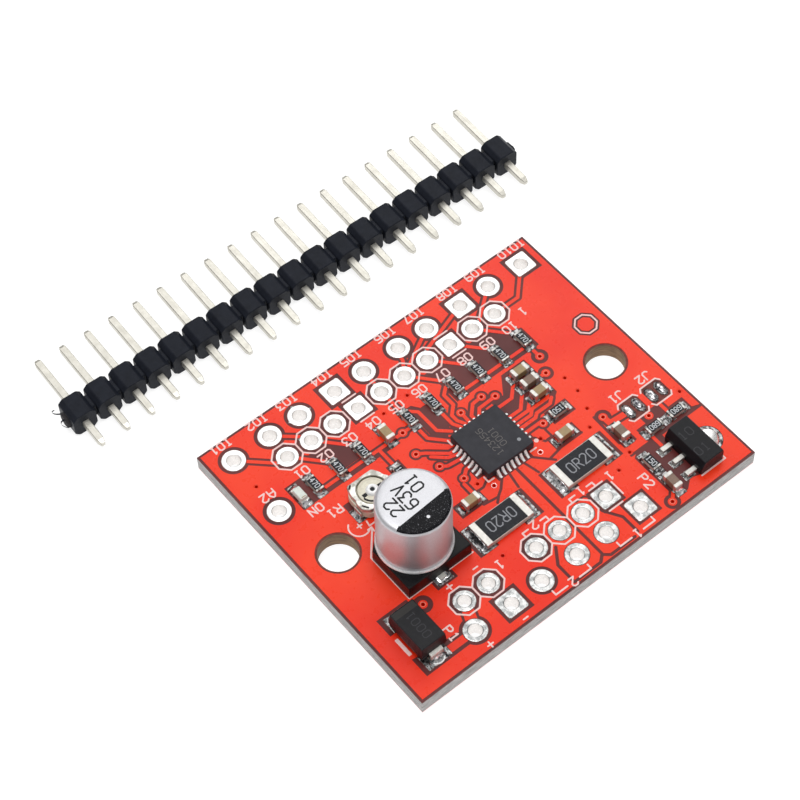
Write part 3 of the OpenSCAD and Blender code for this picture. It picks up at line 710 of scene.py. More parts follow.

# Traces as the half width and the points they pass, read off the board
TRACES = [
    (WIRE, [(CT[9], CT_Y), (CH[9] - 1.0, CH_Y), (CH[9], CH_Y)]),
    (WIRE, [(CT[8], CT_Y), (CH[8] - 0.5, CH_Y + 0.9), (CH[8], CH_Y)]),
    (WIRE, [(CT[3], CT_Y), (CH[4], CH_Y)]),
    (WIRE, [(CT[2], CT_Y), (CH[3] - 0.1, CH_Y + 0.6)]),
    (WIRE, [(CT[1], CT_Y), (CH[1] + 0.9, CH_Y + 0.2)]),
    (WIRE, [(CT[4] - 0.2, CT_Y), (CH[4] + 0.9, CH_Y + 1.3), (CH[4], CH_Y)]),
    (WIRE, [(CT[0], CT_Y), (CT[0] - 2.6, CH_Y), (CH[0], CH_Y)]),
    (WIRE, [(CT[5], CT_Y), (CH[5], CH_Y)]),
    (WIRE, [(CH[9], CH_Y), (CH[8] - 0.1, PULL_Y + 1.0)]),
    (WIRE, [(CH[8], CH_Y), (CH[7] - 0.1, PULL_Y + 1.0)]),
    (WIRE, [(CH[4], CH_Y), (CH[3] - 0.1, PULL_Y + 0.9)]),
    (WIRE, [(CH[3], CH_Y), (CH[2] - 0.1, PULL_Y + 1.0)]),
    (WIRE, [(CH[2], CH_Y), (CH[1] - 0.1, PULL_Y + 1.0)]),
    (WIRE, [(CH[1], CH_Y), (CH[0] - 0.1, PULL_Y + 1.0)]),
    (WIRE, [(CH[5], CH_Y), (CH[5], PULL_Y + 0.8)]),
    (WIRE, [(CH[9], LOW_LAND), (CH[5], LOW_LAND)]),
    (WIRE, [(CH[3], LOW_LAND), (CH[0], LOW_LAND)]),
    (WIRE, [(-5.85, LOW_LAND), (-5.85, 3.3)]),
    (WIRE, [(CH[5], LOW_LAND), (CH[5], 3.85), (IC_LEFT + 0.25, IC_TOP - 0.2)]),
    (WIRE, [(-1.45, 6.95), (-0.90, 6.4), (-0.90, 3.95), (0.0, 3.1)]),
    (WIRE, [(CH[4], 5.6), (CH[4], 3.6), (0.9, 2.9)]),
    (WIRE, [(2.5, 6.85), (1.85, 6.3), (1.85, 5.05), (1.05, 4.3), (1.05, 3.6), (1.4, 2.9)]),
    (WIRE, [(1.80, 4.0), (CONTACT_X[3], 2.7)]),
    (WIRE, [(4.17, 4.12), (3.15, 4.05), (2.3, 3.2), (2.3, 2.8)]),
    (WIRE, [(5.12, 3.40), (3.3, 3.35), (2.8, 2.8)]),
    (WIRE, [(4.5, 2.35), (6.05, 2.35), (7.3, 3.55)]),
    (WIRE, [(4.6, 1.0), (5.9, 1.0), (7.3, 2.4)]),
    (WIRE, [(4.6, 0.5), (6.3, 0.5), (7.2, 1.3)]),
    (WIRE, [(4.6, 0.0), (6.2, 0.0), (6.65, 0.42), (8.4, 0.42), (8.8, 0.9)]),
    (WIRE, [(4.6, -0.45), (6.3, -0.45), (6.7, -0.15), (8.2, -0.15), (8.7, 0.25)]),
    (WIRE, [(4.6, -1.05), (6.42, -1.05)]),
    (WIRE, [(-3.75, 3.25), (-3.1, 2.85), (-1.55, 1.5), (-0.6, 1.4)]),
    (WIRE, [(-2.95, 2.25), (-1.9, 1.25), (-0.6, 0.9)]),
    (WIRE, [(-3.0, 1.05), (-2.45, 0.65), (-0.6, 0.42)]),
    (WIRE, [(-2.2, -1.15), (-1.5, -0.6), (-0.6, -0.55)]),
    (WIRE, [(-2.55, -1.6), (-2.55, -2.7)]),
    (WIRE, [(CH[0], LOW_LAND), (10.72, 4.07)]),
    (WIRE, [(9.98, 2.43), (8.9, 2.5)]),
    (0.28, [(10.7, -4.07), (10.75, -4.9), (12.6, -5.05)]),
    (WIRE, [(15.25, -5.4), (15.25, -7.4)]),
    (WIRE, [(12.55, -7.9), (12.55, -9.6)]),
    (WIRE, [(9.5, -13.95), (10.4, -13.1)]),
    (0.35, [(-13.6, -12.6), (PT[1], PT_Y)]),
    (0.5, [(PT[1], PT_Y), (PH[1], PH_Y)]),
    (WIRE, [(-12.4, -8.12), (-13.4, -8.0)]),
]

# Bare lines that part the pour, as the half width and the points
PARTINGS = [
    (0.14, [(CONTACT_X[3], IC_LOW - 0.3), (CONTACT_X[3], -13.9), (1.15, -14.42), (-1.7, -14.42)]),
    (0.14, [(CONTACT_X[3], -14.0), (2.25, -14.42), (4.9, -14.42)]),
    (0.12, [(1.05, -2.9), (0.72, -4.7)]),
    (0.12, [(2.55, -2.9), (2.95, -4.7)]),
    (0.12, [(3.2, -2.9), (4.85, -4.7)]),
    (0.12, [(4.6, -4.3), (6.0, -4.05), (8.3, -4.05)]),
    (0.12, [(0.5, -2.9), (-0.5, -3.9), (-1.2, -4.35), (-2.6, -4.15)]),
    (0.12, [(-1.1, -4.3), (-1.6, -4.75)]),
    (0.12, [(-0.8, -2.45), (-1.5, -2.85), (-2.4, -2.85)]),
    (0.12, [(6.15, -1.9), (6.15, -2.75), (5.6, -2.75)]),
    (0.12, [(4.9, -1.9), (5.4, -2.75), (6.2, -2.85)]),
    (0.14, [(4.55, -11.0), (5.4, -12.4), (5.4, -14.2)]),
    (0.14, [(-0.72, -11.0), (-1.7, -12.4), (-1.7, -14.2)]),
    (0.13, [(17.9, -8.45), (9.95, -8.45)]),
    (0.13, [(10.1, -3.6), (10.0, -6.9)]),
    (0.10, [(3.4, -8.85), (4.2, -8.85), (4.45, -9.1), (4.45, -10.9)]),
]
# Areas with no copper
VOIDS = [
    [(-11.2, 9.0), (-8.9, 9.0), (-7.5, 7.6), (-7.5, 6.0), (-9.1, 6.0), (-9.1, 7.7), (-10.1, 7.7)],
    [(1.25, 9.0), (9.2, 9.0), (10.6, 7.6), (11.5, 7.4), (11.5, 5.05), (2.3, 5.05), (2.3, 7.5)],
    [(-12.1, 7.7), (-14.3, 7.7), (-14.3, 5.0), (-6.0, 5.0), (-6.0, 5.95), (-11.6, 5.95), (-11.6, 7.7)],
    [(-6.3, 5.0), (-4.9, 5.0), (-3.6, 5.95), (-6.3, 5.95)],
    [(-1.5, 7.3), (-1.0, 7.3), (-0.5, 6.6), (0.2, 6.6), (0.2, 3.6), (-0.6, 2.8), (-1.6, 3.6), (-1.6, 7.0)],
    [(4.4, 3.15), (5.7, 3.05), (6.9, 4.7), (9.45, 4.7), (9.45, 0.40), (8.7, -0.1), (6.9, 0.0), (6.4, -0.6),
     (4.4, -0.7)],
    [(7.1, -0.55), (9.5, -0.55), (9.5, -2.0), (7.1, -2.0)],
    [(11.95, -6.85), (17.15, -6.85), (17.15, -8.1), (17.9, -8.4), (17.9, -8.6), (13.3, -8.6), (13.3, -13.6),
     (12.2, -13.2), (11.3, -13.9), (9.95, -13.9), (9.95, -8.85), (10.55, -8.4), (11.95, -8.4)],
    [(10.0, -5.2), (11.4, -5.2), (11.4, -7.55), (10.0, -7.55)],
    [(-16.25, -6.9), (-13.15, -6.9), (-13.15, -8.7), (-16.25, -8.7)],
    [(-16.25, -11.4), (-11.7, -11.9), (-11.7, -13.3), (-16.25, -13.3)],
    [(-10.65, -6.9), (-8.55, -6.9), (-8.55, -7.95), (-10.65, -7.95)],
    [(12.25, -4.05), (14.3, -4.05), (14.3, -6.05), (12.25, -6.05)],
    [(14.85, -4.05), (16.9, -4.05), (16.9, -6.05), (14.85, -6.05)],
    [(13.0, -6.0), (15.6, -6.0), (15.6, -6.9), (13.0, -6.9)],
    [(-4.8, -2.7), (-2.0, -2.7), (-2.0, -4.1), (-4.8, -4.1)],
    [(5.55, -2.7), (8.35, -2.7), (8.35, -4.15), (5.55, -4.15)],
    [(-6.55, 3.85), (-5.2, 3.85), (-5.2, 1.0), (-6.55, 1.0)],
    [(-11.6, 3.25), (-10.9, 3.25), (-10.9, 1.3), (-11.6, 1.3)],
]
# Copper inside a void
ISLANDS = [
    [(1.25, 8.0), (2.05, 7.2), (1.45, 6.7), (1.1, 6.6), (1.1, 7.6)],
]
# Vias that stand clear of the pour: x, y and the radius of the bare ring
RINGED_VIAS = [
    (-3.75, 3.25, 0.60), (-3.0, 1.05, 0.60), (-2.2, -1.15, 0.60), (6.42, -1.28, 0.62), (1.80, 4.0, 0.60),
    (4.17, 4.12, 0.62), (5.12, 3.42, 0.62), (10.72, 4.07, 0.76), (9.98, 2.43, 0.70), (10.7, -4.07, 0.74),
    (13.75, -6.45, 0.58), (9.5, -13.95, 0.72), (-12.4, -8.12, 0.84), (-3.25, 5.62, 0.62),
]
VIA_RING = 0.40                # radius of the copper round a via
TINNED_VIAS = [(-0.75, -3.3), (4.35, -3.3)]

MOTOR_CLEAR = [0.22, 0.0, 0.0, 0.26]
# Each row of pads: its x and y, its size, which pads are square, and how far each stands clear of the pour
TERMINAL_PAD = 2.1
HEADER_PAD = 1.95
TERMINAL_BORE = 1.2
HEADER_BORE = 1.14
PAD_ROWS = (
    (CT, CT_Y, TERMINAL_PAD, (0, 2, 6), [0.30] * 10),
    (CH, CH_Y, HEADER_PAD, (2, 6), [0.26] * 10),
    (MT, MT_Y, TERMINAL_PAD, (0,), MOTOR_CLEAR),
    (MH, MH_Y, HEADER_PAD, (0,), MOTOR_CLEAR),
    (PT, PT_Y, TERMINAL_PAD, (0,), [0.28] * 2),
    (PH, PH_Y, HEADER_PAD, (), [0.26] * 2),
    ([TEST_POINT.x], TEST_POINT.y, TERMINAL_PAD, (), [0.32]),
)
PADS = [{"x": x, "y": y, "size": size, "square": i in squares, "clear": clear[i], "i": i}
        for row, y, size, squares, clear in PAD_ROWS for i, x in enumerate(row)]


def pad_region(pad, grow):
    """The pad widened by grow: square, eight-sided round a header pad, or round."""
    r = pad["size"] / 2 + grow
    x, y = pad["x"], pad["y"]
    if pad["square"]:
        return rectangle(x, y, 2 * r, 2 * r)
    if pad["size"] == HEADER_PAD and grow > 0.1:
        return Stroke(arc_points(x, y, r * 1.06, [22.5 + 45 * k for k in range(8)]))
    return Stroke([(x, y)], r)


def chip_places(node):
    """The centre of every two-ended part in a CAD node, and whether it lies along Y."""
    mesh = NODES[node].data
    link = list(range(len(mesh.vertices)))

    def find(i):
        while link[i] != i:
            link[i] = link[link[i]]
            i = link[i]
        return i
    spot = {}
    for v in mesh.vertices:
        key = tuple(round(c / MM, 3) for c in v.co)
        link[find(v.index)] = find(spot.setdefault(key, v.index))
    for e in mesh.edges:
        link[find(e.vertices[0])] = find(e.vertices[1])
    groups = {}
    for v in mesh.vertices:
        groups.setdefault(find(v.index), []).append(v.co / MM)
    out = []
    for pts in groups.values():
        xs, ys = [p.x for p in pts], [p.y for p in pts]
        w, h = max(xs) - min(xs), max(ys) - min(ys)
        out.append(((max(xs) + min(xs)) / 2, (max(ys) + min(ys)) / 2, h > w))
    return sorted(out)


def rectangle(x, y, w, h):
    return Stroke([(x + a * w / 2, y + b * h / 2) for a, b in CORNERS])


def octagon_ring(x, y, half, r=0.075):
    return Stroke(arc_points(x, y, half / math.cos(math.radians(22.5)), [22.5 + 45 * i for i in range(9)]), r)


# The plain octagon and the jumpers stand where they were seen on the board
EMBLEM = (16.0, 4.05, 0.95)    # centre and half width of the plain octagon in the corner
JUMPERS = ((13.27, -5.05), (15.85, -5.05))


def build_mask():
    """The mask's skin, higher over copper than over bare laminate."""
    opening_loops = face_loops("solder_mask_top", TOP + 0.03)
    loops = list(opening_loops)
    wires = [Stroke(points, w) for w, points in TRACES]
    clear_wires = [Stroke(points, w + CLEAR) for w, points in TRACES]
    partings = [Stroke(points, w) for w, points in PARTINGS]
    partings.append(octagon_ring(*EMBLEM, 0.24))
    voids = [Stroke(points) for points in VOIDS]
    # bare laminate round the driver's contacts, two sides at a time; its darker mask is partly real bare
    # laminate and partly painted shade between the contacts
    voids.append(rectangle(IC.x, IC.y, 6.3, 3.8))
    voids.append(rectangle(IC.x, IC.y, 3.8, 6.3))
    for x, y, _ in chip_places("sense_resistor_bodies"):
        voids += [rectangle(x + s * 2.45, y, 1.95, 3.0) for s in (-1, 1)]
    islands = [Stroke(points) for points in ISLANDS]
    clear_pads = [pad_region(p, p["clear"]) for p in PADS if p["clear"]]
    clear_vias = [Stroke([(x, y)], r) for x, y, r in RINGED_VIAS]
    rings = [Stroke([(x, y)], VIA_RING) for x, y, _ in RINGED_VIAS]
    edge = 0.22
    pours = [rectangle(0, 0, 2 * (HALF_L - edge), 2 * (HALF_W - edge))]
    for s in wires + clear_wires + partings + voids + islands + clear_pads + clear_vias + rings + pours:
        loops.extend(s.outlines())

    def level(q):
        in_mask = in_loops(q, opening_loops)
        copper = any_inside(q, pours)
        copper &= ~any_inside(q, clear_wires + partings + voids + clear_pads + clear_vias)
        copper |= any_inside(q, wires + islands + rings)
        return np.where(in_mask, np.where(copper, MASK_Z, GAP_Z), np.nan)
    relief("solder_mask_skin", loops, level, lambda z: 0 if z > TOP + 0.02 else 1, TOP + 0.001,
           [MASK, MASK_GAP], "board", ["solder_mask_top"])


def finish_node(node, *mats):
    """Gives a carried-over CAD node its materials."""
    data = NODES[node].data
    data.materials.clear()
    for mat in mats:
        data.materials.append(mat)


def finish_board():
    """Laminate outside, and a drilled wall round the two mounting holes."""
    finish_node("pcb", LAMINATE, HOLE_WALL)
    hole_x = mount("mounting_holes")["dims"]["spacing_x_mm"] / 2
    wall_reach = 1.9
    for face in NODES["pcb"].data.polygons:
        off = min(math.hypot(face.center.x / MM - s * hole_x, face.center.y / MM) for s in (-1, 1))
        face.material_index = 1 if off < wall_reach and abs(face.normal.z) < 0.5 else 0


build_mask()
finish_board()
for name, finish in (("solder_mask_bottom", MASK), ("via_barrels", MASK), ("driver_paddle", HIDDEN_METAL),
                     ("driver_die", SILICON), ("diode_die", SILICON), ("capacitor_bung", RUBBER),
                     ("capacitor_winding", PAPER)):
    finish_node(name, finish)


# ---------------------------------------------------------------- printed legend

def build_legend():
    """The white print: frames round the pads, outlines of parts, signs and words."""
    pen = 0.075
    lines = []
    half = PITCH / 2

    def draw(*points, r=pen):
        lines.append(Stroke(points, r))
    for row, y, squares in ((CH, CH_Y, (2, 6)), (MH, MH_Y, (0,)), (PH, PH_Y, ())):
        for i, x in enumerate(row):
            if i in squares:
                for s in (-1, 1):
                    draw((x - 0.72, y + s * half), (x + 0.72, y + s * half))
            else:
                lines.append(octagon_ring(x, y, half))
    draw((MH[0] + half, MH_Y - 0.72), (MH[0] + half, MH_Y + 0.72))
    # brackets that pair the motor's holes coil by coil
    for i in (0, 2):
        for row, y, drop in ((MH, MH_Y + 1.72, -0.4), (MT, MT_Y - 1.72, 0.45)):
            a, b = row[i + 1], row[i]
            mid = (a + b) / 2
            draw((a, y + drop), (a, y), (mid - 0.65, y))
            draw((mid + 0.65, y), (b, y), (b, y + drop))
            lines += text(str(1 + i // 2), mid, y, 0.78, 180, 0.07)
    # the capacitor's outline, open where a foot passes
    left, low = CAP.x - 3.3, CAP.y - 3.3
    draw((left + 1.8, CAP.y + 3.7), (left, CAP.y + 1.6), (left, low), (CAP.x - 0.95, low))
    draw((CAP.x + 0.95, low), (CAP.x + 3.4, low))
    for jx, jy in JUMPERS:
        for s in (-1, 1):
            y, end = jy + s * 1.06, jy + s * 0.71
            draw((jx - 1.1, end), (jx - 0.85, y), (jx + 0.85, y), (jx + 1.1, end))
    # the driver's corners and first pin
    draw((IC.x - 2.62, IC.y - 2.05), (IC.x - 2.62, IC.y - 2.64), (IC.x - 2.05, IC.y - 2.64))
    draw((IC.x + 2.0, IC.y - 2.64), (IC.x + 2.6, IC.y - 2.64))
    draw((IC.x - 2.62, IC.y + 2.1), (IC.x - 2.62, IC.y + 2.66))
    draw((4.85, -2.22), r=0.2)
    for x in (DIODE.x - 1.55, DIODE.x - 1.40):
        draw((x, DIODE.y - 0.85), (x, DIODE.y + 0.85), r=0.09)
    draw((REG.x - 1.2, REG.y - 2.32), (REG.x + 1.45, REG.y - 2.32), (REG.x + 1.45, REG.y - 1.9))
    lines.append(octagon_ring(*EMBLEM))
    # the trimmer's turning arrow
    draw(*arc_points(-11.8, 0.82, 0.92, range(130, 316, 15)), r=0.07)
    draw((-11.45, 0.12), (-11.05, 0.15), (-11.1, -0.28), r=0.07)
    draw((-11.0, 0.85), (-11.1, 0.35), (-10.4, 0.35), r=0.07)
    words = [("IO" + str(10 - i), x + (0 if i else 0.4), HALF_W - 0.42, 0.74, 180) for i, x in enumerate(CT)]
    words += [(str(10 - i).zfill(2), x, CH_Y - 2.02, 0.76, 180) for i, x in enumerate(CH)]
    words += [("1", x, y, 0.78, 180) for x, y in ((12.7, 8.6), (7.2, -8.75), (-5.3, -9.3))]
    words += [("A2", -15.75, 8.0, 0.8, 180), ("ON", -13.5, 4.4, 0.76, 180), ("R1", -12.4, 3.25, 0.78, 180),
              ("+", PH[1] - 0.1, PH_Y + 1.75, 0.8, 0),
              ("+", PT[1] + 0.1, PT_Y - 1.75, 0.8, 0), ("-", PH[0] + 0.1, PH_Y + 1.75, 0.8, 0),
              ("-", PT[0], PT_Y - 1.75, 0.8, 0), ("P1", -12.35, -11.6, 0.8, -90),
              ("P2", 9.2, -11.1, 0.8, -90), ("J1", 12.9, -3.3, 0.78, 180), ("J2", 16.0, -3.3, 0.78, 180)]
    for word, x, y, height, degrees in words:
        lines += text(word, x, y, height, degrees, 0.07)
    lines += text("+", -11.75, 0.85, 0.7, 0, 0.065)
    printed("legend_ink_print", lines, GAP_Z, MASK_Z + 0.014, [INK], replaces=["legend_print"])


build_legend()


# ---------------------------------------------------------------- plated holes

def outline_point(pad, a, half):
    """A point on the pad's outline, or on a square's where the pad is square."""
    c, s = math.cos(a), math.sin(a)
    if not pad["square"]:
        return pad["x"] + half * c, pad["y"] + half * s
    k = half / max(abs(c), abs(s))
    return pad["x"] + k * c, pad["y"] + k * s


def plated_hole(b, pad, hole_d, n=48, swell=0.018):
    """A pad with a rounded solder-levelled surface, its barrel, and the pad on the underside."""
    angles = [360 * (i + 0.5) / n for i in range(n)]
    edge = [outline_point(pad, math.radians(a), pad["size"] / 2) for a in angles]
    bore = arc_points(pad["x"], pad["y"], hole_d / 2, angles)
    # from the pad's edge (share 1) to the bore (share 0), and its height as a share of the swell
    rings = []
    for share, h in ((1.0, 0.0), (0.985, 0.7), (0.9, 1.0), (0.7, 1.25), (0.45, 1.3), (0.2, 1.15), (0.06, 0.6),
                     (0.0, -1.0)):
        z = TOP + 0.03 + swell * h if share < 1 else TOP
        rings.append([(ix + (ox - ix) * share, iy + (oy - iy) * share, z)
                      for (ox, oy), (ix, iy) in zip(edge, bore)])
    low = [(x, y, 0.02) for x, y in bore]
    foot = [(x, y, 0.0) for x, y in edge]
    for part, tag in ((rings, 0), ([rings[-1], low], 1), ([low, foot], 0)):
        b.loft(part, tag, cap_start=False, cap_end=False)


def spur(b, pad, degrees):
    """A tinned point where a trace leaves the pad through the mask opening."""
    a = math.radians(degrees)
    r = pad["size"] / 2
    tip = (pad["x"] + (r + 0.17) * math.cos(a), pad["y"] + (r + 0.17) * math.sin(a))
    right, left = [(pad["x"] + (r - 0.1) * math.cos(a + d), pad["y"] + (r - 0.1) * math.sin(a + d))
                   for d in (-0.3, 0.3)]
    b.slab([right, tip, left], TOP + 0.01, TOP + 0.045)


# Where traces leave the round control pads, in degrees, by the pad's place in its row
HEADER_SPURS = {9: (180,), 8: (135, -45), 7: (90, -90), 5: (90,), 4: (90,), 3: (60,), 1: (20,), 0: (0,)}
TERMINAL_SPURS = {7: (0, 90, 180)}


def build_holes():
    rows = (
        ("control_terminal_barrels", CT_Y, TERMINAL_PAD, TERMINAL_BORE, TIN),
        ("control_header_barrels", CH_Y, HEADER_PAD, HEADER_BORE, TIN),
        ("motor_terminal_barrels", MT_Y, TERMINAL_PAD, TERMINAL_BORE, TIN_GREY),
        ("motor_header_barrels", MH_Y, HEADER_PAD, HEADER_BORE, TIN_GREY),
        ("power_terminal_barrels", PT_Y, TERMINAL_PAD, TERMINAL_BORE, TIN_GREY),
        ("power_header_barrels", PH_Y, HEADER_PAD, HEADER_BORE, TIN_GREY),
        ("test_point", TEST_POINT.y, TERMINAL_PAD, TERMINAL_BORE, TIN),
    )
    for node, y, size, hole_d, mat in rows:
        low, high = box_mm(node)
        b = Builder()
        for pad in PADS:
            if abs(pad["y"] - y) < 0.01 and pad["size"] == size and low.x < pad["x"] < high.x:
                plated_hole(b, pad, hole_d)
                spurs = {"control_header_barrels": HEADER_SPURS, "control_terminal_barrels": TERMINAL_SPURS}
                for degrees in spurs.get(node, {}).get(pad["i"], ()):
                    spur(b, pad, degrees)
        b.make(node + "_plated", [mat, BARREL], "board", "tin", smooth=True, replaces=[node])


build_holes()


def build_via_linings():
    """Mask that runs down into each via from its rim."""
    b = Builder()
    for loop in face_loops("via_barrels", TOP):
        xs, ys = [p[0] for p in loop], [p[1] for p in loop]
        if max(xs) - min(xs) > 0.35:
            x, y = (max(xs) + min(xs)) / 2, (max(ys) + min(ys)) / 2
            rim = 0
            for tag, vias in ((2, RINGED_VIAS), (3, TINNED_VIAS)):
                if any(math.hypot(x - v[0], y - v[1]) < 0.3 for v in vias):
                    rim = tag
            crest, lip = (0.24, MASK_Z + 0.014), (0.205, MASK_Z + 0.008)
            revolve(b, [(0.27, MASK_Z + 0.001), crest], x, y, 0, 24, False, False)
            # the lip of a ringed via in pale pink: its plating, and partly a painted highlight
            revolve(b, [crest, lip], x, y, rim, 24, False, False)
            # the well down the via is coloured near-black red: painted shade in the hole
            revolve(b, [lip, (0.19, MASK_Z - 0.03), (0.18, TOP - 0.2), (0.17, 0.5)], x, y, 1, 24, False, True)
    b.make("via_linings", [MASK, VIA_WELL, VIA_RIM, TIN], "board", "via", smooth=True)


build_via_linings()


# ---------------------------------------------------------------- solder and chip parts

def wobble(k, size):
    """A small repeatable unevenness."""
    return size * (0.5 * math.sin(3.1 * k + 0.7) + 0.5 * math.sin(7.3 * k + 1.9))


def joint(b, reach, width, out, up, seed=0):
    """A concave solder joint at the +X end of a part whose end face is at x = reach, from land to face.
    It spreads a little past the part's sides."""
    steps, across = 6, 8
    rows = []
    for s in range(steps + 1):
        t = s / steps
        x = reach - 0.03 + (out + 0.03) * t
        fall = (1 - t) ** 2.1
        row = []
        for k in range(across + 1):
            u = -1 + 2 * k / across
            edge = 1 - abs(u) ** 3.5
            swell = 0.055 + 0.03 * math.sin(2.1 * seed + 5 * u)
            z = LAND_Z - 0.02 + (up * fall + swell * (1 - t ** 3)) * (0.25 + 0.75 * edge)
            z += wobble(seed + k + 2 * s, 0.008)
            row.append((x, u * (width / 2 + 0.05 + 0.06 * math.sin(math.pi * min(1, t + 0.2))), z))
        rows.append(row)
    n = across + 1
    verts = [p for row in rows for p in row]
    faces = [[r * n + k, (r + 1) * n + k, (r + 1) * n + k + 1, r * n + k + 1]
             for r in range(steps) for k in range(across)]
    # walls down to the land from the surface's edge, and a floor
    base = len(verts)
    rim = ([k for k in range(n)] + [r * n + n - 1 for r in range(1, steps + 1)]
           + [steps * n + k for k in range(n - 2, -1, -1)] + [r * n for r in range(steps - 1, 0, -1)])
    verts += [(verts[i][0], verts[i][1], TOP + 0.02) for i in rim]
    m = len(rim)
    faces += [[rim[i], rim[(i + 1) % m], base + (i + 1) % m, base + i] for i in range(m)]
    faces.append([base + i for i in range(m)])
    b.add(verts, faces)


CHIP_L = 1.6                   # the small chip parts, over their plated ends
CHIP_W = 0.83
CHIP_WELD = (CHIP_L / 2 - 0.01, CHIP_W - 0.01)


def plated_ends(ends, solder, m, cap, weld, seed, step=1):
    """Both ends of a chip part, each a rounded block wrapped round the body, with its solder joint.
    cap is (length, width, height, end, corner) and weld is (reach, width, out, up)."""
    length, width, height, end, corner = cap
    ends.matrix = m
    for s in (-1, 1):
        outline = round_rect(s * (length - end) / 2, 0, end, width, corner, 3)
        ends.slab(outline, LAND_Z, LAND_Z + height, 0.05, 0, 0.0, 0.03)
        solder.matrix = m @ Matrix.Rotation(math.radians(90 - 90 * s), 4, "Z")
        joint(solder, *weld, seed + step * s)


def placed(x, y, upright, k, shift, twist, most):
    """A chip part's frame, a little off its place as a placing machine leaves it."""
    m = turn(x + wobble(k, 0.03), y + wobble(k + shift, 0.03), 90 if upright else 0)
    return m @ turn(0, 0, wobble(k + twist, most))


def build_chip_resistors(solder):
    """Alumina blocks with a glazed top that carries the value."""
    bodies, ends, marks = Builder(), Builder(), []
    h = 0.45
    for k, (x, y, upright) in enumerate(chip_places("chip_resistor_bodies")):
        pull_up = abs(y - PULL_Y) < 0.1
        bodies.matrix = m = placed(x, y, upright, k, 5, 2, 1.6)
        bodies.slab(round_rect(0, 0, 1.54, 0.80, 0.02, 1), LAND_Z + 0.02, LAND_Z + h - 0.05, 0.01, 0)
        bodies.slab(round_rect(0, 0, 1.20, 0.79, 0.04, 3), LAND_Z + h - 0.055, LAND_Z + h + 0.004, 0.022, 1)
        plated_ends(ends, solder, m, (CHIP_L, CHIP_W, h, 0.23, 0.07), (*CHIP_WELD, 0.24, 0.30), k)
        words = "470" if pull_up else ("680" if x > REG.x - 2.3 else "150")
        centre = m @ Vector((0, 0, 0))
        marks += text(words, centre.x, centre.y, 0.46, -90 if upright else 180, 0.032, 0.8)
    bodies.make("chip_resistor_cores", [ALUMINA, RESISTOR_GLAZE], "board", "resistor",
                replaces=["chip_resistor_bodies"])
    ends.make("chip_resistor_caps", [CHIP_END], "board", "tin", replaces=["chip_resistor_ends"])
    printed("chip_resistor_values", marks, LAND_Z + h, LAND_Z + h + 0.012, [PRINT_WHITE])


def build_chip_capacitors(solder):
    """Ceramic blocks, taller than the resistors and without print."""
    bodies, ends = Builder(), Builder()
    h = 0.8
    for k, (x, y, upright) in enumerate(chip_places("chip_capacitor_bodies")):
        bodies.matrix = m = placed(x, y, upright, k, 4, 3, 2.0)
        # the two by the regulator and every other one beside the driver are of a browner ceramic
        brown = (y < -4 and x > 9) or (x > 5 and k % 2 == 0 and y > 0)
        outline = round_rect(0, 0, 1.50, 0.78, 0.04, 3)
        bodies.slab(outline, LAND_Z + 0.02, LAND_Z + h - 0.02, 0.04, int(brown), 0, 0.03)
        plated_ends(ends, solder, m, (CHIP_L, CHIP_W, h, 0.36, 0.09), (*CHIP_WELD, 0.24, 0.42), k, 3)
    bodies.make("chip_capacitor_cores", [CAP_CERAMIC, BROWN_CERAMIC], "board", "capacitor_body",
                replaces=["chip_capacitor_bodies"])
    ends.make("chip_capacitor_caps", [TERMINATION], "board", "tin", replaces=["chip_capacitor_ends"])


def build_sense_resistors(solder):
    """The two large resistors beside the driver."""
    bodies, ends, marks = Builder(), Builder(), []
    h = 0.55
    for s, (x, y, _) in zip((-1, 1), chip_places("sense_resistor_bodies")):
        bodies.matrix = m = turn(x, y)
        bodies.slab(round_rect(0, 0, 4.94, 2.48, 0.03, 1), LAND_Z + 0.02, LAND_Z + h - 0.06, 0.01, 0)
        bodies.slab(round_rect(0, 0, 3.74, 2.36, 0.05, 3), LAND_Z + h - 0.065, LAND_Z + h + 0.002, 0.03, 1)
        plated_ends(ends, solder, m, (5.0, 2.52, h, 0.63, 0.07), (2.49, 2.5, 0.52, 0.36), s, 4)
        marks += text("0R20", x, y, 1.0, 180 if s < 0 else 0, 0.05, 0.76)
    bodies.make("sense_resistor_cores", [ALUMINA, RESISTOR_GLAZE], "board", "resistor",
                replaces=["sense_resistor_bodies"])
    ends.make("sense_resistor_caps", [TERMINATION], "board", "tin", replaces=["sense_resistor_ends"])
    printed("sense_resistor_values", marks, LAND_Z + h - 0.002, LAND_Z + h + 0.012, [PRINT_GREY])


def build_lamp(solder):
    """The power light: base, lens with its mark, and plated ends."""
    base, lens, ends = Builder(), Builder(), Builder()
    base.matrix = lens.matrix = m = turn(LED.x, LED.y, 90)
    base.slab(round_rect(0, 0, 1.56, 0.8, 0.03, 2), LAND_Z + 0.02, LAND_Z + 0.20, 0.02)
    lens.slab(round_rect(0, 0, 1.34, 0.80, 0.16, 4), LAND_Z + 0.20, LAND_Z + 0.55, 0.07, 0, 0.05)
    lens.slab(round_rect(-0.50, 0, 0.07, 0.42, 0.02, 2), LAND_Z + 0.54, LAND_Z + 0.555, 0.0, 1)
    plated_ends(ends, solder, m, (CHIP_L, CHIP_W, 0.22, 0.3, 0.04), (*CHIP_WELD, 0.42, 0.26), 9)
    base.make("lamp_base", [LAMP], "board", "led_base", replaces=["led_base"])
    lens.make("lamp_lens", [LAMP, CAP_CERAMIC], "board", "led_lens", replaces=["led_lens"])
    ends.make("lamp_ends", [TERMINATION], "board", "tin", replaces=["led_ends"])


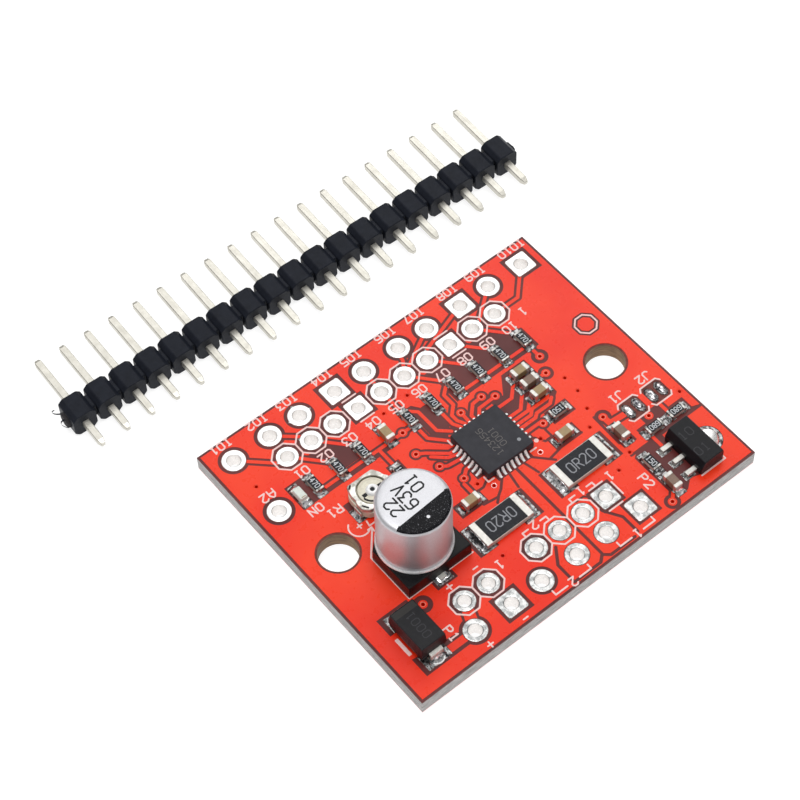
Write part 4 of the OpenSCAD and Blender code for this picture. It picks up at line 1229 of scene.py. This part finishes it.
def build_lands():
    """Each tinned land keeps its CAD outline and gains a softened, slightly swollen surface."""
    b = Builder()
    for loop in face_loops("component_lands", LAND_Z):
        pts = [Vector(p) for p in loop]
        area = sum(p.x * q.y - q.x * p.y for p, q in zip(pts, pts[1:] + pts[:1])) / 2
        if area < 0:
            loop = loop[::-1]
            pts = pts[::-1]
        # drop the points that lie on a straight edge, except from a round outline
        lean = [loop[i] for i, p in enumerate(pts)
                if abs((p - pts[i - 1]).cross(pts[(i + 1) % len(pts)] - p)) > 1e-6]
        if len(lean) > 12:
            lean = loop
        inset = min(0.04, 0.2 * math.sqrt(abs(area)))
        b.loft([[(x, y, TOP) for x, y in lean], [(x, y, TOP + 0.035) for x, y in lean],
                [(x, y, LAND_Z) for x, y in inset_outline(lean, inset)]])
    b.make("tinned_lands", [LAND], "board", "tin", replaces=["component_lands"])


def build_jumpers():
    """Each jumper is two half-moon lands with a swollen tin skin and a rim in the land material, whose dark
    patches are painted reflection.
    """
    b = Builder()
    cx = 0.48
    for jx, jy in JUMPERS:
        for s in (0, 180):
            b.matrix = turn(jx, jy, s)
            rings = []
            for share, h in ((1.0, 0.0), (0.97, 0.04), (0.76, 0.07), (0.70, 0.14), (0.45, 0.18),
                             (0.02, 0.195)):
                ring = []
                for k in range(17):
                    a = math.radians(-80 + 160 * k / 16)
                    side = math.copysign(abs(math.sin(a)) ** 0.7, a)
                    ring.append((0.15 + 0.80 * math.cos(a) ** 0.5, 0.84 * side))
                ring += [(0.14, 0.5 - k * 0.2) for k in range(6)]
                rings.append([(cx + (x - cx) * share, y * share, TOP + 0.01 + h) for x, y in ring])
            b.loft(rings[:3], 1, cap_end=False)
            b.loft(rings[2:], 0, cap_start=False)
    b.make("jumper_solder", [SOLDER, LAND], "board", "solder", smooth=True, replaces=["jumper_lands"])


# ---------------------------------------------------------------- driver chip

def build_driver():
    """The leadless driver package with its marks and solder at every contact."""
    top = box_mm("driver_mould")[1].z
    b = Builder()
    b.slab(round_rect(IC.x, IC.y, DRIVER_SIDE, DRIVER_SIDE, 0.08, 3), LAND_Z + 0.01, top, 0.045, 0, 0.012)
    b.make("driver_package", [CHIP_MOULD], "board", "mould", replaces=["driver_mould"])
    dot = [Stroke([(IC.x + 1.69, IC.y - 1.49)], 0.17)]
    printed("driver_first_pin_dot", dot, top - 0.01, top + 0.003, [PRINT_GREY])
    marks = text("123456", IC.x - 0.35, IC.y - 0.1, 0.56, 90, 0.028)
    marks += text("0001", IC.x + 0.45, IC.y - 0.1, 0.56, 90, 0.028)
    printed("driver_marks", marks, top - 0.004, top + 0.003, [PRINT_FAINT])
    # seven contacts a side, each with a joint that is taller on two of the sides
    c = Builder()
    for q in range(4):
        for i in range(7):
            c.matrix = turn(IC.x, IC.y, 90 * q)
            y = CONTACT_PITCH * (i - 3)
            c.slab(round_rect(2.26, y, 0.52, 0.25, 0.03, 2), LAND_Z, LAND_Z + 0.2, 0.01)
            out, up = (0.56, 0.52) if q in (2, 3) else (0.50, 0.22)
            rings = []
            for t in (0, 0.25, 0.5, 0.75, 1.0):
                x = 2.49 + out * t
                z = LAND_Z + 0.02 + up * (1 - t) ** 1.8
                w = 0.125 - 0.025 * t
                rings.append([(x, y - w, LAND_Z - 0.03), (x, y + w, LAND_Z - 0.03), (x, y + w, z - 0.03),
                              (x, y + 0.06, z), (x, y - 0.06, z), (x, y - w, z - 0.03)])
            c.loft(rings)
    c.make("driver_contact_joints", [CONTACT_TIN], "board", "tin", replaces=["driver_contacts"])


# ---------------------------------------------------------------- capacitor

def build_capacitor(solder):
    """The crimped can with its print, its moulded base and its two feet."""
    x, y, top, r = CAP.x, CAP.y, box_mm("capacitor_can")[1].z, 3.15
    base_top = TOP + 1.5
    can = Builder()
    s = 0.42
    shoulder = arc_points(r - s, top - 0.03 - s, s, range(0, 91, 10))
    side = [(r, base_top + 0.28), (r - 0.10, base_top + 0.40), (r - 0.14, base_top + 0.55),
            (r - 0.09, base_top + 0.80), (r - 0.02, base_top + 1.0)]
    crown = (r - s - 0.12, top - 0.004)
    revolve(can, side + shoulder + [crown, (r - s - 0.3, top)], x, y, n=96, cap_start=False)
    # the bead at the can's foot, in the near-white aluminium: a painted highlight ring
    bead = [(r - 0.12, base_top - 0.38), (r - 0.12, base_top - 0.04), (r + 0.08, base_top - 0.02),
            (r + 0.13, base_top + 0.04), (r + 0.12, base_top + 0.12), (r + 0.06, base_top + 0.22),
            (r, base_top + 0.28)]
    revolve(can, bead, x, y, 1, 96, cap_start=False, cap_end=False)
    can.make("can", [ALUMINIUM, BEAD_PAINTED_HIGHLIGHT], "board", "aluminium", smooth=True, replaces=["capacitor_can"])
    # the black segment of the negative side, wrapped a little over the shoulder
    first, last, steps = 205, 342, 40
    seg = arc_points(x, y, r - 0.28, [first + (last - first) * k / 32 for k in range(33)])
    dot = Stroke([(x - 0.05, y - 1.95)], 0.15)
    region = Stroke(seg)

    def level(q):
        return np.where(region.inside(q) & ~dot.inside(q), top + 0.008, np.nan)
    relief("can_negative_mark", [seg] + dot.outlines(), level, lambda z: 0, top - 0.02, [PRINT_SPECKLED],
           "board")
    wrap = Builder()
    ink = 0.006
    angles = [first + (last - first) * k / steps for k in range(steps + 1)]
    wrap.sheet([[(px, py, pz + ink) for px, py in arc_points(x, y, pr + ink, angles)]
                for pr, pz in shoulder[4:] + [crown]])
    wrap.make("can_negative_shoulder", [PRINT_SPECKLED], "board", "aluminium", smooth=True)
    marks = []
    for words, along, up in (("22", -1.65, 0.42), ("63V", -0.30, 0.62), ("01", 1.02, 1.15)):
        marks += text(words, x + along, y + up, 1.04, 90, 0.078, 0.86)
    printed("can_values", marks, top - 0.01, top + 0.008, [PRINT_BLACK])

    base = Builder()
    h = 3.3
    c = 1.9
    outline = [(x - h, y - h), (x + h, y - h), (x + h, y + h - c), (x + h - c, y + h), (x - h + c, y + h),
               (x - h, y + h - c)]
    base.slab(outline, LAND_Z + 0.02, base_top - 0.04, 0.10, 0, 0.03)
    base.make("can_base", [DARK_BASE], "board", "mould", replaces=["capacitor_base"])
    feet = Builder()
    for side in (-1, 1):
        feet.matrix = solder.matrix = turn(x, y, 90 * side)
        feet.slab(round_rect(2.75, 0, 1.9, 0.7, 0.05, 2), LAND_Z, LAND_Z + 0.19, 0.04)
        revolve(feet, [(0.3, LAND_Z + 0.1), (0.3, base_top + 0.8)], 1.25, 0, n=16)
        joint(solder, 3.2, 1.1, 0.72, 0.20, 12 + side)
    feet.make("can_feet", [TERMINATION], "board", "tin", replaces=["capacitor_terminals"])


# ---------------------------------------------------------------- diode and regulator

def build_diode(solder):
    """The diode's moulding, band, mark and bent leads."""
    x, y = DIODE.x, DIODE.y
    b = Builder()
    b.matrix = turn(x, y, 90)
    z0, zm, z1 = LAND_Z + 0.22, LAND_Z + 0.95, LAND_Z + 2.1
    sides = ((0.14, z0), (0.02, zm - 0.02), (0.0, zm), (0.10, z1 - 0.06), (0.12, z1 - 0.02), (0.17, z1))
    b.loft([[(px, py, z) for px, py in round_rect(0, 0, 4.3 - 2 * inset, 2.6 - 2 * inset, 0.06, 2)]
            for inset, z in sides])
    b.make("diode_package", [BLACK_MOULD], "board", "mould", replaces=["diode_mould"])
    printed("diode_band", [rectangle(x, y + 1.62, 2.2, 0.62)], z1 - 0.01, z1 + 0.004, [BAND])
    printed("diode_mark", text("0001", x + 0.05, y - 0.1, 0.72, 90, 0.04), z1 - 0.01, z1 + 0.004, [PRINT_DIM])
    # a bright tin arc at the near lead's joint: a painted highlight on the solder's rim
    bead = [(x + 0.62 * math.cos(math.radians(a)), y - 2.50 + 0.50 * math.sin(math.radians(a)))
            for a in range(190, 351, 16)]
    printed("diode_solder_rim_painted_highlight", [Stroke(bead, 0.05)], LAND_Z - 0.01, LAND_Z + 0.10, [CONTACT_TIN])
    leads = Builder()
    for s in (-1, 1):
        leads.matrix = solder.matrix = turn(x, y, 90 * s)
        side = [(1.9, 1.0), (2.36, 1.0), (2.46, 0.95), (2.5, 0.86), (2.5, 0.08), (2.45, 0.0), (1.2, 0.0),
                (1.2, 0.18), (2.27, 0.18), (2.31, 0.22), (2.31, 0.76), (2.27, 0.80), (1.9, 0.80)]
        leads.loft([[(px, v * 0.62, LAND_Z + pz) for px, pz in side] for v in (-1, 1)])
        joint(solder, 2.48, 1.5, 0.46, 0.55, 20 + s)
    leads.make("diode_bent_leads", [TERMINATION], "board", "tin", replaces=["diode_leads"])


def build_regulator(solder):
    """The regulator's moulding, three flat leads and rounded tab."""
    x, y, l, w = REG.x, REG.y, 4.5, 2.5
    z = LAND_Z
    b = Builder()
    side = [(-w / 2, z + 0.03), (w / 2 - 0.02, z + 0.03), (w / 2, z + 0.45), (w / 2, z + 1.10),
            (w / 2 - 0.10, z + 1.45), (w / 2 - 0.16, z + 1.5), (-w / 2 + 0.42, z + 1.5),
            (-w / 2 + 0.36, z + 1.47), (-w / 2 + 0.02, z + 0.80), (-w / 2, z + 0.72)]
    cut = [(0.0, 0.10), (0.03, 0.03), (0.10, 0.0)]
    rings = []
    mid = z + 0.75
    for edge, shrink in cut + [(l - a, s) for a, s in cut[::-1]]:
        rings.append([(x + px * (1 - shrink * 0.5), y - l / 2 + edge, mid + (pz - mid) * (1 - shrink * 0.5))
                      for px, pz in side])
    b.loft(rings)
    b.make("regulator_package", [BLACK_MOULD], "board", "mould", replaces=["regulator_mould"])
    leads, tab = Builder(), Builder()
    for i in (-1, 0, 1):
        leads.box(x - w / 2 - 0.28, y + 1.5 * i, z, (1.5, 0.45, 0.38), 0.04)
        solder.matrix = turn(x, y + 1.5 * i, 180)
        joint(solder, w / 2 + 0.6, 0.5, 0.42, 0.26, 30 + i)
    tab_x, tab_r = x + w / 2 + 0.35, 0.8
    outline = [(x - 0.4, y - tab_r), *arc_points(tab_x, y, tab_r, range(-90, 91, 10)), (x - 0.4, y + tab_r)]
    tab.slab(outline, z, z + 0.38, 0.05)
    # the solder that runs up the tab's wall, from its foot to the tab's edge
    tab.sheet([[(px, py, z + h) for px, py in arc_points(tab_x, y, 0.78 + 0.27 * share, range(-88, 89, 8))]
               for share, h in ((1.0, -0.02), (0.72, 0.09), (0.4, 0.21), (-0.04, 0.36))])
    leads.make("regulator_leads_flat", [TERMINATION], "board", "tin", replaces=["regulator_leads"])
    tab.make("regulator_tab_round", [TAB_TIN], "board", "tin", smooth=True, replaces=["regulator_tab"])
    marks = text("10", x - 0.15, y + 0.95, 0.8, 0, 0.04) + text("01", x - 0.15, y - 1.0, 0.8, 0, 0.04)
    printed("regulator_marks", marks, z + 1.49, z + 1.504, [PRINT_DIM])


# ---------------------------------------------------------------- trimmer

def build_trimmer(solder):
    """The trimmer's body, pressed collar and feet, and the rotor that turns in it."""
    base_low, base_high = box_mm("trimmer_base")
    shell_low, shell_high = box_mm("trimmer_shell")
    x, y = TRIM.x, TRIM.y
    base = Builder()
    base.slab(round_rect(x, y, 3.7, 3.2, 1.05, 5), base_low.z, base_high.z, 0.04, 0, 0.0, 0.03)
    base.make("trimmer_body", [CREAM], "board", "ceramic", replaces=["trimmer_base"])
    # the pressed shell: a wavy collar round the rotor's well, in one piece with turned-down lugs
    outer_pts = []
    n = 72
    for i in range(n):
        a = 2 * math.pi * i / n
        c, s = math.cos(a), math.sin(a)
        k = 1 / max(abs(c) / 1.88, abs(s) / 1.62)
        k = min(k, 1.92 + 0.17 * math.cos(5 * a + 0.8) + 0.05 * math.cos(11 * a))
        outer_pts.append((k * c, k * s))
    shell = Builder()
    z0, z1 = shell_low.z, shell_high.z
    profile = ((1.0, z0, 1), (1.0, z1 - 0.09, 1), (0.965, z1 - 0.02, 1), (0.92, z1, 1), (0.10, z1, 0),
               (0.04, z1 - 0.03, 0), (0.0, z1 - 0.10, 0), (0.0, z0, 0))
    rings = []
    for share, z, side in profile:
        ring = []
        for i, (ox, oy) in enumerate(outer_pts):
            a = 2 * math.pi * i / n
            ix, iy = 1.36 * math.cos(a), 1.36 * math.sin(a)
            dent = 0.05 * max(0, math.cos(3 * a + 0.6)) if side and share < 1 else 0
            ring.append((x + ix + (ox - ix) * share, y + iy + (oy - iy) * share, z - dent))
        rings.append(ring)
    shell.loft(rings, 0, False, False, closed=True)
    shell.make("trimmer_collar", [COLLAR], "board", "trimmer_shell", replaces=["trimmer_shell"])
    # two short black strokes on the collar's near side
    marks = [Stroke([(x - 1.62, y - 0.7), (x - 1.35, y - 1.15)], 0.07),
             Stroke([(x - 1.45, y + 1.25), (x - 1.2, y + 1.45)], 0.08)]
    printed("trimmer_collar_black_strokes", marks, z1 - 0.03, z1 + 0.004, [PRINT_BLACK])
    feet = Builder()
    for s in (-1, 1):
        fx, fy = x + s * 1.6, y - 0.3 + s * 0.2
        feet.box(fx, fy, LAND_Z, (0.8, 0.9, 0.1), 0.02)
        feet.box(x + s * 1.955, fy, LAND_Z, (0.09, 0.9, 0.72), 0.02)
        solder.matrix = turn(x, fy, 90 - 90 * s)
        joint(solder, 2.0, 0.9, 0.34, 0.3, 40 + s)
    feet.make("trimmer_feet", [TERMINATION], "board", "tin", replaces=["trimmer_terminals"])
    # the rotor: a dished disc with a screwdriver slot drawn as black plates of painted shade, a raised eyelet
    # and its hole, darkened by a black disc of painted shade
    low, high = box_mm("trimmer_rotor")
    seat = high.z - 0.62
    disc = high.z - 0.20
    rotor = Builder()
    revolve(rotor, [(0.45, low.z), (0.45, seat), (1.2, seat), (1.25, seat + 0.05), (1.25, disc - 0.08),
                    (1.21, disc - 0.02), (1.12, disc), (0.98, disc - 0.06), (0.6, disc - 0.05)], x, y, n=64,
            cap_end=False)
    revolve(rotor, [(0.6, disc - 0.05), (0.57, disc + 0.02), (0.5, high.z - 0.06), (0.40, high.z),
                    (0.27, high.z - 0.01), (0.2, high.z - 0.07), (0.18, high.z - 0.2), (0.17, seat + 0.1)],
            x, y, tag=1, n=48, cap_start=False, cap_end=True)
    # the screwdriver slot: two thin black plates on the dish, painted shade where a slot would be
    for s in (-1, 1):
        rotor.box(x + s * 0.80, y, disc - 0.055, (0.40, 0.34, 0.012), 0.0, 2)
    # a black arc near the disc's rim: painted shade of the gap round the disc
    arc = arc_points(x, y, 1.08, [195 + 6.7 * k for k in range(11)])
    # a black disc down in the eyelet: painted shade in its hole
    revolve(rotor, [(0.24, high.z - 0.10), (0.2, high.z - 0.09)], x, y, 2, 32, cap_start=False)
    rotor.make("trimmer_disc", [CREAM, CONTACT_TIN, PRINT_BLACK], "trimmer_rotor", "rotor",
               replaces=["trimmer_rotor"])
    printed("trimmer_disc_gap_painted_shade", [Stroke(arc, 0.085)], disc - 0.05, disc + 0.008, [PRINT_BLACK],
            body="trimmer_rotor")


# ---------------------------------------------------------------- header strip

def strip_matrix():
    """The frame of the loose strip as it lies: its middle, with X along the row.
    The row's turn comes from the long axis of the housing's vertices."""
    mesh = NODES["header_housing"].data
    pts = np.array([v.co for v in mesh.vertices]) / MM
    flat = pts[:, :2] - pts[:, :2].mean(0)
    values, vectors = np.linalg.eigh(flat.T @ flat)
    axis = vectors[:, 1]
    if axis[0] < 0:
        axis = -axis
    across = np.array([-axis[1], axis[0]])
    along = pts[:, :2] @ axis
    wide = pts[:, :2] @ across
    centre = axis * (along.max() + along.min()) / 2 + across * (wide.max() + wide.min()) / 2
    angle = math.degrees(math.atan2(axis[1], axis[0]))
    z = (pts[:, 2].max() + pts[:, 2].min()) / 2
    return turn(centre[0], centre[1], angle, z)


def cut_square(hx, hy, c):
    """A rectangle of half sizes hx and hy, counter-clockwise, with its corners cut by c."""
    return [(c - hx, -hy), (hx - c, -hy), (hx, c - hy), (hx, hy - c),
            (hx - c, hy), (c - hx, hy), (-hx, hy - c), (-hx, c - hy)]


STRIP_PINS = 19
STRIP_X = [(i - (STRIP_PINS - 1) / 2) * PITCH for i in range(STRIP_PINS)]
STRIP_HALF = 1.25              # half the housing's length along the pins
SEGMENT_HALF = PITCH / 2 - 0.14


def build_housing(m):
    """Snap-off segments joined by necks, with a torn stub at each end of the row."""
    half = STRIP_HALF
    housing = Builder()
    housing.matrix = m
    for x in STRIP_X:
        out = cut_square(SEGMENT_HALF, half, 0.42)
        rings = []
        for yy, inset in ((-half, 0.07), (-half + 0.02, 0.025), (-half + 0.07, 0.0), (half - 0.07, 0.0),
                          (half - 0.02, 0.025), (half, 0.07)):
            ring = inset_outline(out, inset)
            # every corner is softened by splitting its vertex in two
            soft = []
            for k, p in enumerate(ring):
                p = Vector(p)
                for beside in (ring[k - 1], ring[(k + 1) % len(ring)]):
                    soft.append(p + (Vector(beside) - p).normalized() * 0.06)
            rings.append([(x + q.x, yy, q.y) for q in soft])
        housing.loft([ring[::-1] for ring in rings])
    neck = 0.80
    for x in STRIP_X[:-1]:
        housing.loft([[(x + PITCH / 2 + dx, py, pz) for py, pz in cut_square(neck * s, neck * s, 0.1)]
                      for dx, s in ((-0.3, 1.0), (-0.08, 0.93), (0.08, 0.93), (0.3, 1.0))])
    # the torn stubs where the strip was snapped off
    end_x = STRIP_X[-1] + SEGMENT_HALF
    for s in (-1, 1):
        x0 = s * (end_x - 0.06)
        rings = []
        for step, (dx, k) in enumerate(((0.0, 0.74), (0.22, 0.68), (0.36, 0.60))):
            ring = []
            for t in range(12):
                a = 2 * math.pi * t / 12
                square = k / max(abs(math.cos(a)), abs(math.sin(a))) * 0.97 * 0.94
                jag = 0.06 * random.uniform(-1, 1) if step == 2 else 0
                ring.append((x0 + s * (dx + jag), square * math.cos(a), square * math.sin(a)))
            rings.append(ring)
        housing.loft(rings if s > 0 else [r[::-1] for r in rings], 0 if s > 0 else 1)
    # two fine threads of plastic left hanging at the -X end
    for side, curl in ((0.55, 1.0), (-0.15, -1.0)):
        rings = []
        for t in range(9):
            a = t / 8 * 2.6
            px = -end_x - 0.05 - 0.85 * math.sin(a) * (1 - 0.25 * t / 8)
            py = side + curl * 0.42 * (1 - math.cos(a))
            pz = 0.30 + 0.35 * math.sin(a * 1.3)
            w = 0.055 - 0.003 * t
            rings.append([(px, py + a * w, pz + b * w) for a, b in CORNERS])
        housing.loft(rings)
    housing.make("strip_housing", [HOUSING, TORN_PLASTIC], "header_strip", "housing",
                 replaces=["header_housing"])


def build_pins(m):
    """Square pins with blunt ends, each leaning a little."""
    half, half_wide = STRIP_HALF, 0.32
    pins = Builder()
    pins.matrix = m
    for i, x in enumerate(STRIP_X):
        lean = wobble(i, 0.02)
        stations = [(-half - 2.8, 0.50), (-half - 2.76, 0.58), (-half - 2.30, 1.0), (-half, 1.0), (half, 1.0),
                    (half + 5.12, 1.0), (half + 5.34, 0.74), (half + 5.40, 0.60)]
        rings = []
        for yy, s in stations:
            section = cut_square(half_wide * s, half_wide * s, 0.05 * s)
            rings.append([(x + lean * yy / 5 + px, yy, pz) for px, pz in section[::-1]])
        pins.loft(rings)
    pins.make("strip_pins", [PIN], "header_strip", "pin", replaces=["header_pins"])


SOLDER_PIECES = Builder()
build_chip_resistors(SOLDER_PIECES)
build_chip_capacitors(SOLDER_PIECES)
build_sense_resistors(SOLDER_PIECES)
build_lamp(SOLDER_PIECES)
build_lands()
build_jumpers()
build_driver()
build_capacitor(SOLDER_PIECES)
build_diode(SOLDER_PIECES)
build_regulator(SOLDER_PIECES)
build_trimmer(SOLDER_PIECES)
SOLDER_PIECES.make("solder_joints", [SOLDER], "board", "solder", smooth=True, replaces=["solder_fillets"])
STRIP = strip_matrix()
build_housing(STRIP)
build_pins(STRIP)


# ---------------------------------------------------------------- stage, light and camera

def build_stage():
    size, sunk = 0.9, 0.00002
    mesh = bpy.data.meshes.new("floor")
    mesh.from_pydata([(a * size, b * size, -sunk) for a, b in CORNERS], [], [(0, 1, 2, 3)])
    floor = bpy.data.objects.new("floor", mesh)
    mat = Mat("table", Roughness=0.55, Specular_IOR_Level=0.2, Emission_Color=(1, 1, 1, 1),
              Emission_Strength=0.80)
    mat.base(mat.colour(mat.noise(0.02, 2), (0.34, 0.34, 0.34), (0.38, 0.38, 0.38)))
    floor.data.materials.append(mat.m)
    bpy.context.scene.collection.objects.link(floor)

    world = bpy.data.worlds.new("studio")
    world.use_nodes = True
    background = world.node_tree.nodes["Background"]
    background.inputs["Color"].default_value = (1, 1, 1, 1)
    # the room is dim at eye level and bright overhead
    coords = world.node_tree.nodes.new("ShaderNodeTexCoord")
    parts = world.node_tree.nodes.new("ShaderNodeSeparateXYZ")
    rise = world.node_tree.nodes.new("ShaderNodeMapRange")
    set_inputs(rise, From_Min=0.0, From_Max=1.0, To_Min=0.22, To_Max=0.62)
    world.node_tree.links.new(coords.outputs["Generated"], parts.inputs[0])
    world.node_tree.links.new(parts.outputs["Z"], rise.inputs["Value"])
    world.node_tree.links.new(rise.outputs["Result"], background.inputs["Strength"])
    bpy.context.scene.world = world

    def lamp(name, place, aim, size_x, size_y, power):
        data = bpy.data.lights.new(name, "AREA")
        data.shape = "RECTANGLE"
        data.size = size_x
        data.size_y = size_y
        data.energy = power
        obj = bpy.data.objects.new(name, data)
        obj.location = place
        obj.rotation_euler = (Vector(aim) - Vector(place)).to_track_quat("-Z", "Y").to_euler()
        bpy.context.scene.collection.objects.link(obj)

    lamp("key", (-0.04, 0.02, 0.60), (0, 0, 0), 0.34, 0.34, 1.60)
    lamp("back", (0.31, 0.36, 0.42), (0, 0, 0), 0.38, 0.38, 0.80)

    view = bpy.context.scene.view_settings
    view.view_transform = "Standard"
    view.look = "None"
    view.exposure = 0.0
    view.gamma = 1.0


def build_camera():
    """A long lens, placed by its azimuth, fall, roll, distance and the point it looks at."""
    data = bpy.data.cameras.new("camera")
    data.sensor_width = 36
    data.lens = 106.58
    data.clip_start = 0.01
    data.clip_end = 10
    cam = bpy.data.objects.new("camera", data)
    azimuth, fall = math.radians(37.27), math.radians(56.48)
    look = Vector((math.sin(azimuth) * math.cos(fall), math.cos(azimuth) * math.cos(fall), -math.sin(fall)))
    side = look.cross(Vector((0, 0, 1))).normalized()
    up = side.cross(look)
    roll = math.radians(2.42)
    right = side * math.cos(roll) - up * math.sin(roll)
    above = up * math.cos(roll) + side * math.sin(roll)
    spin = Matrix((right, above, -look)).transposed().to_4x4()
    aim, distance = Vector((-0.667, 9.194, 0)), 203.5
    cam.matrix_world = Matrix.Translation((aim - look * distance) * MM) @ spin
    bpy.context.scene.collection.objects.link(cam)
    bpy.context.scene.camera = cam


build_stage()
build_camera()
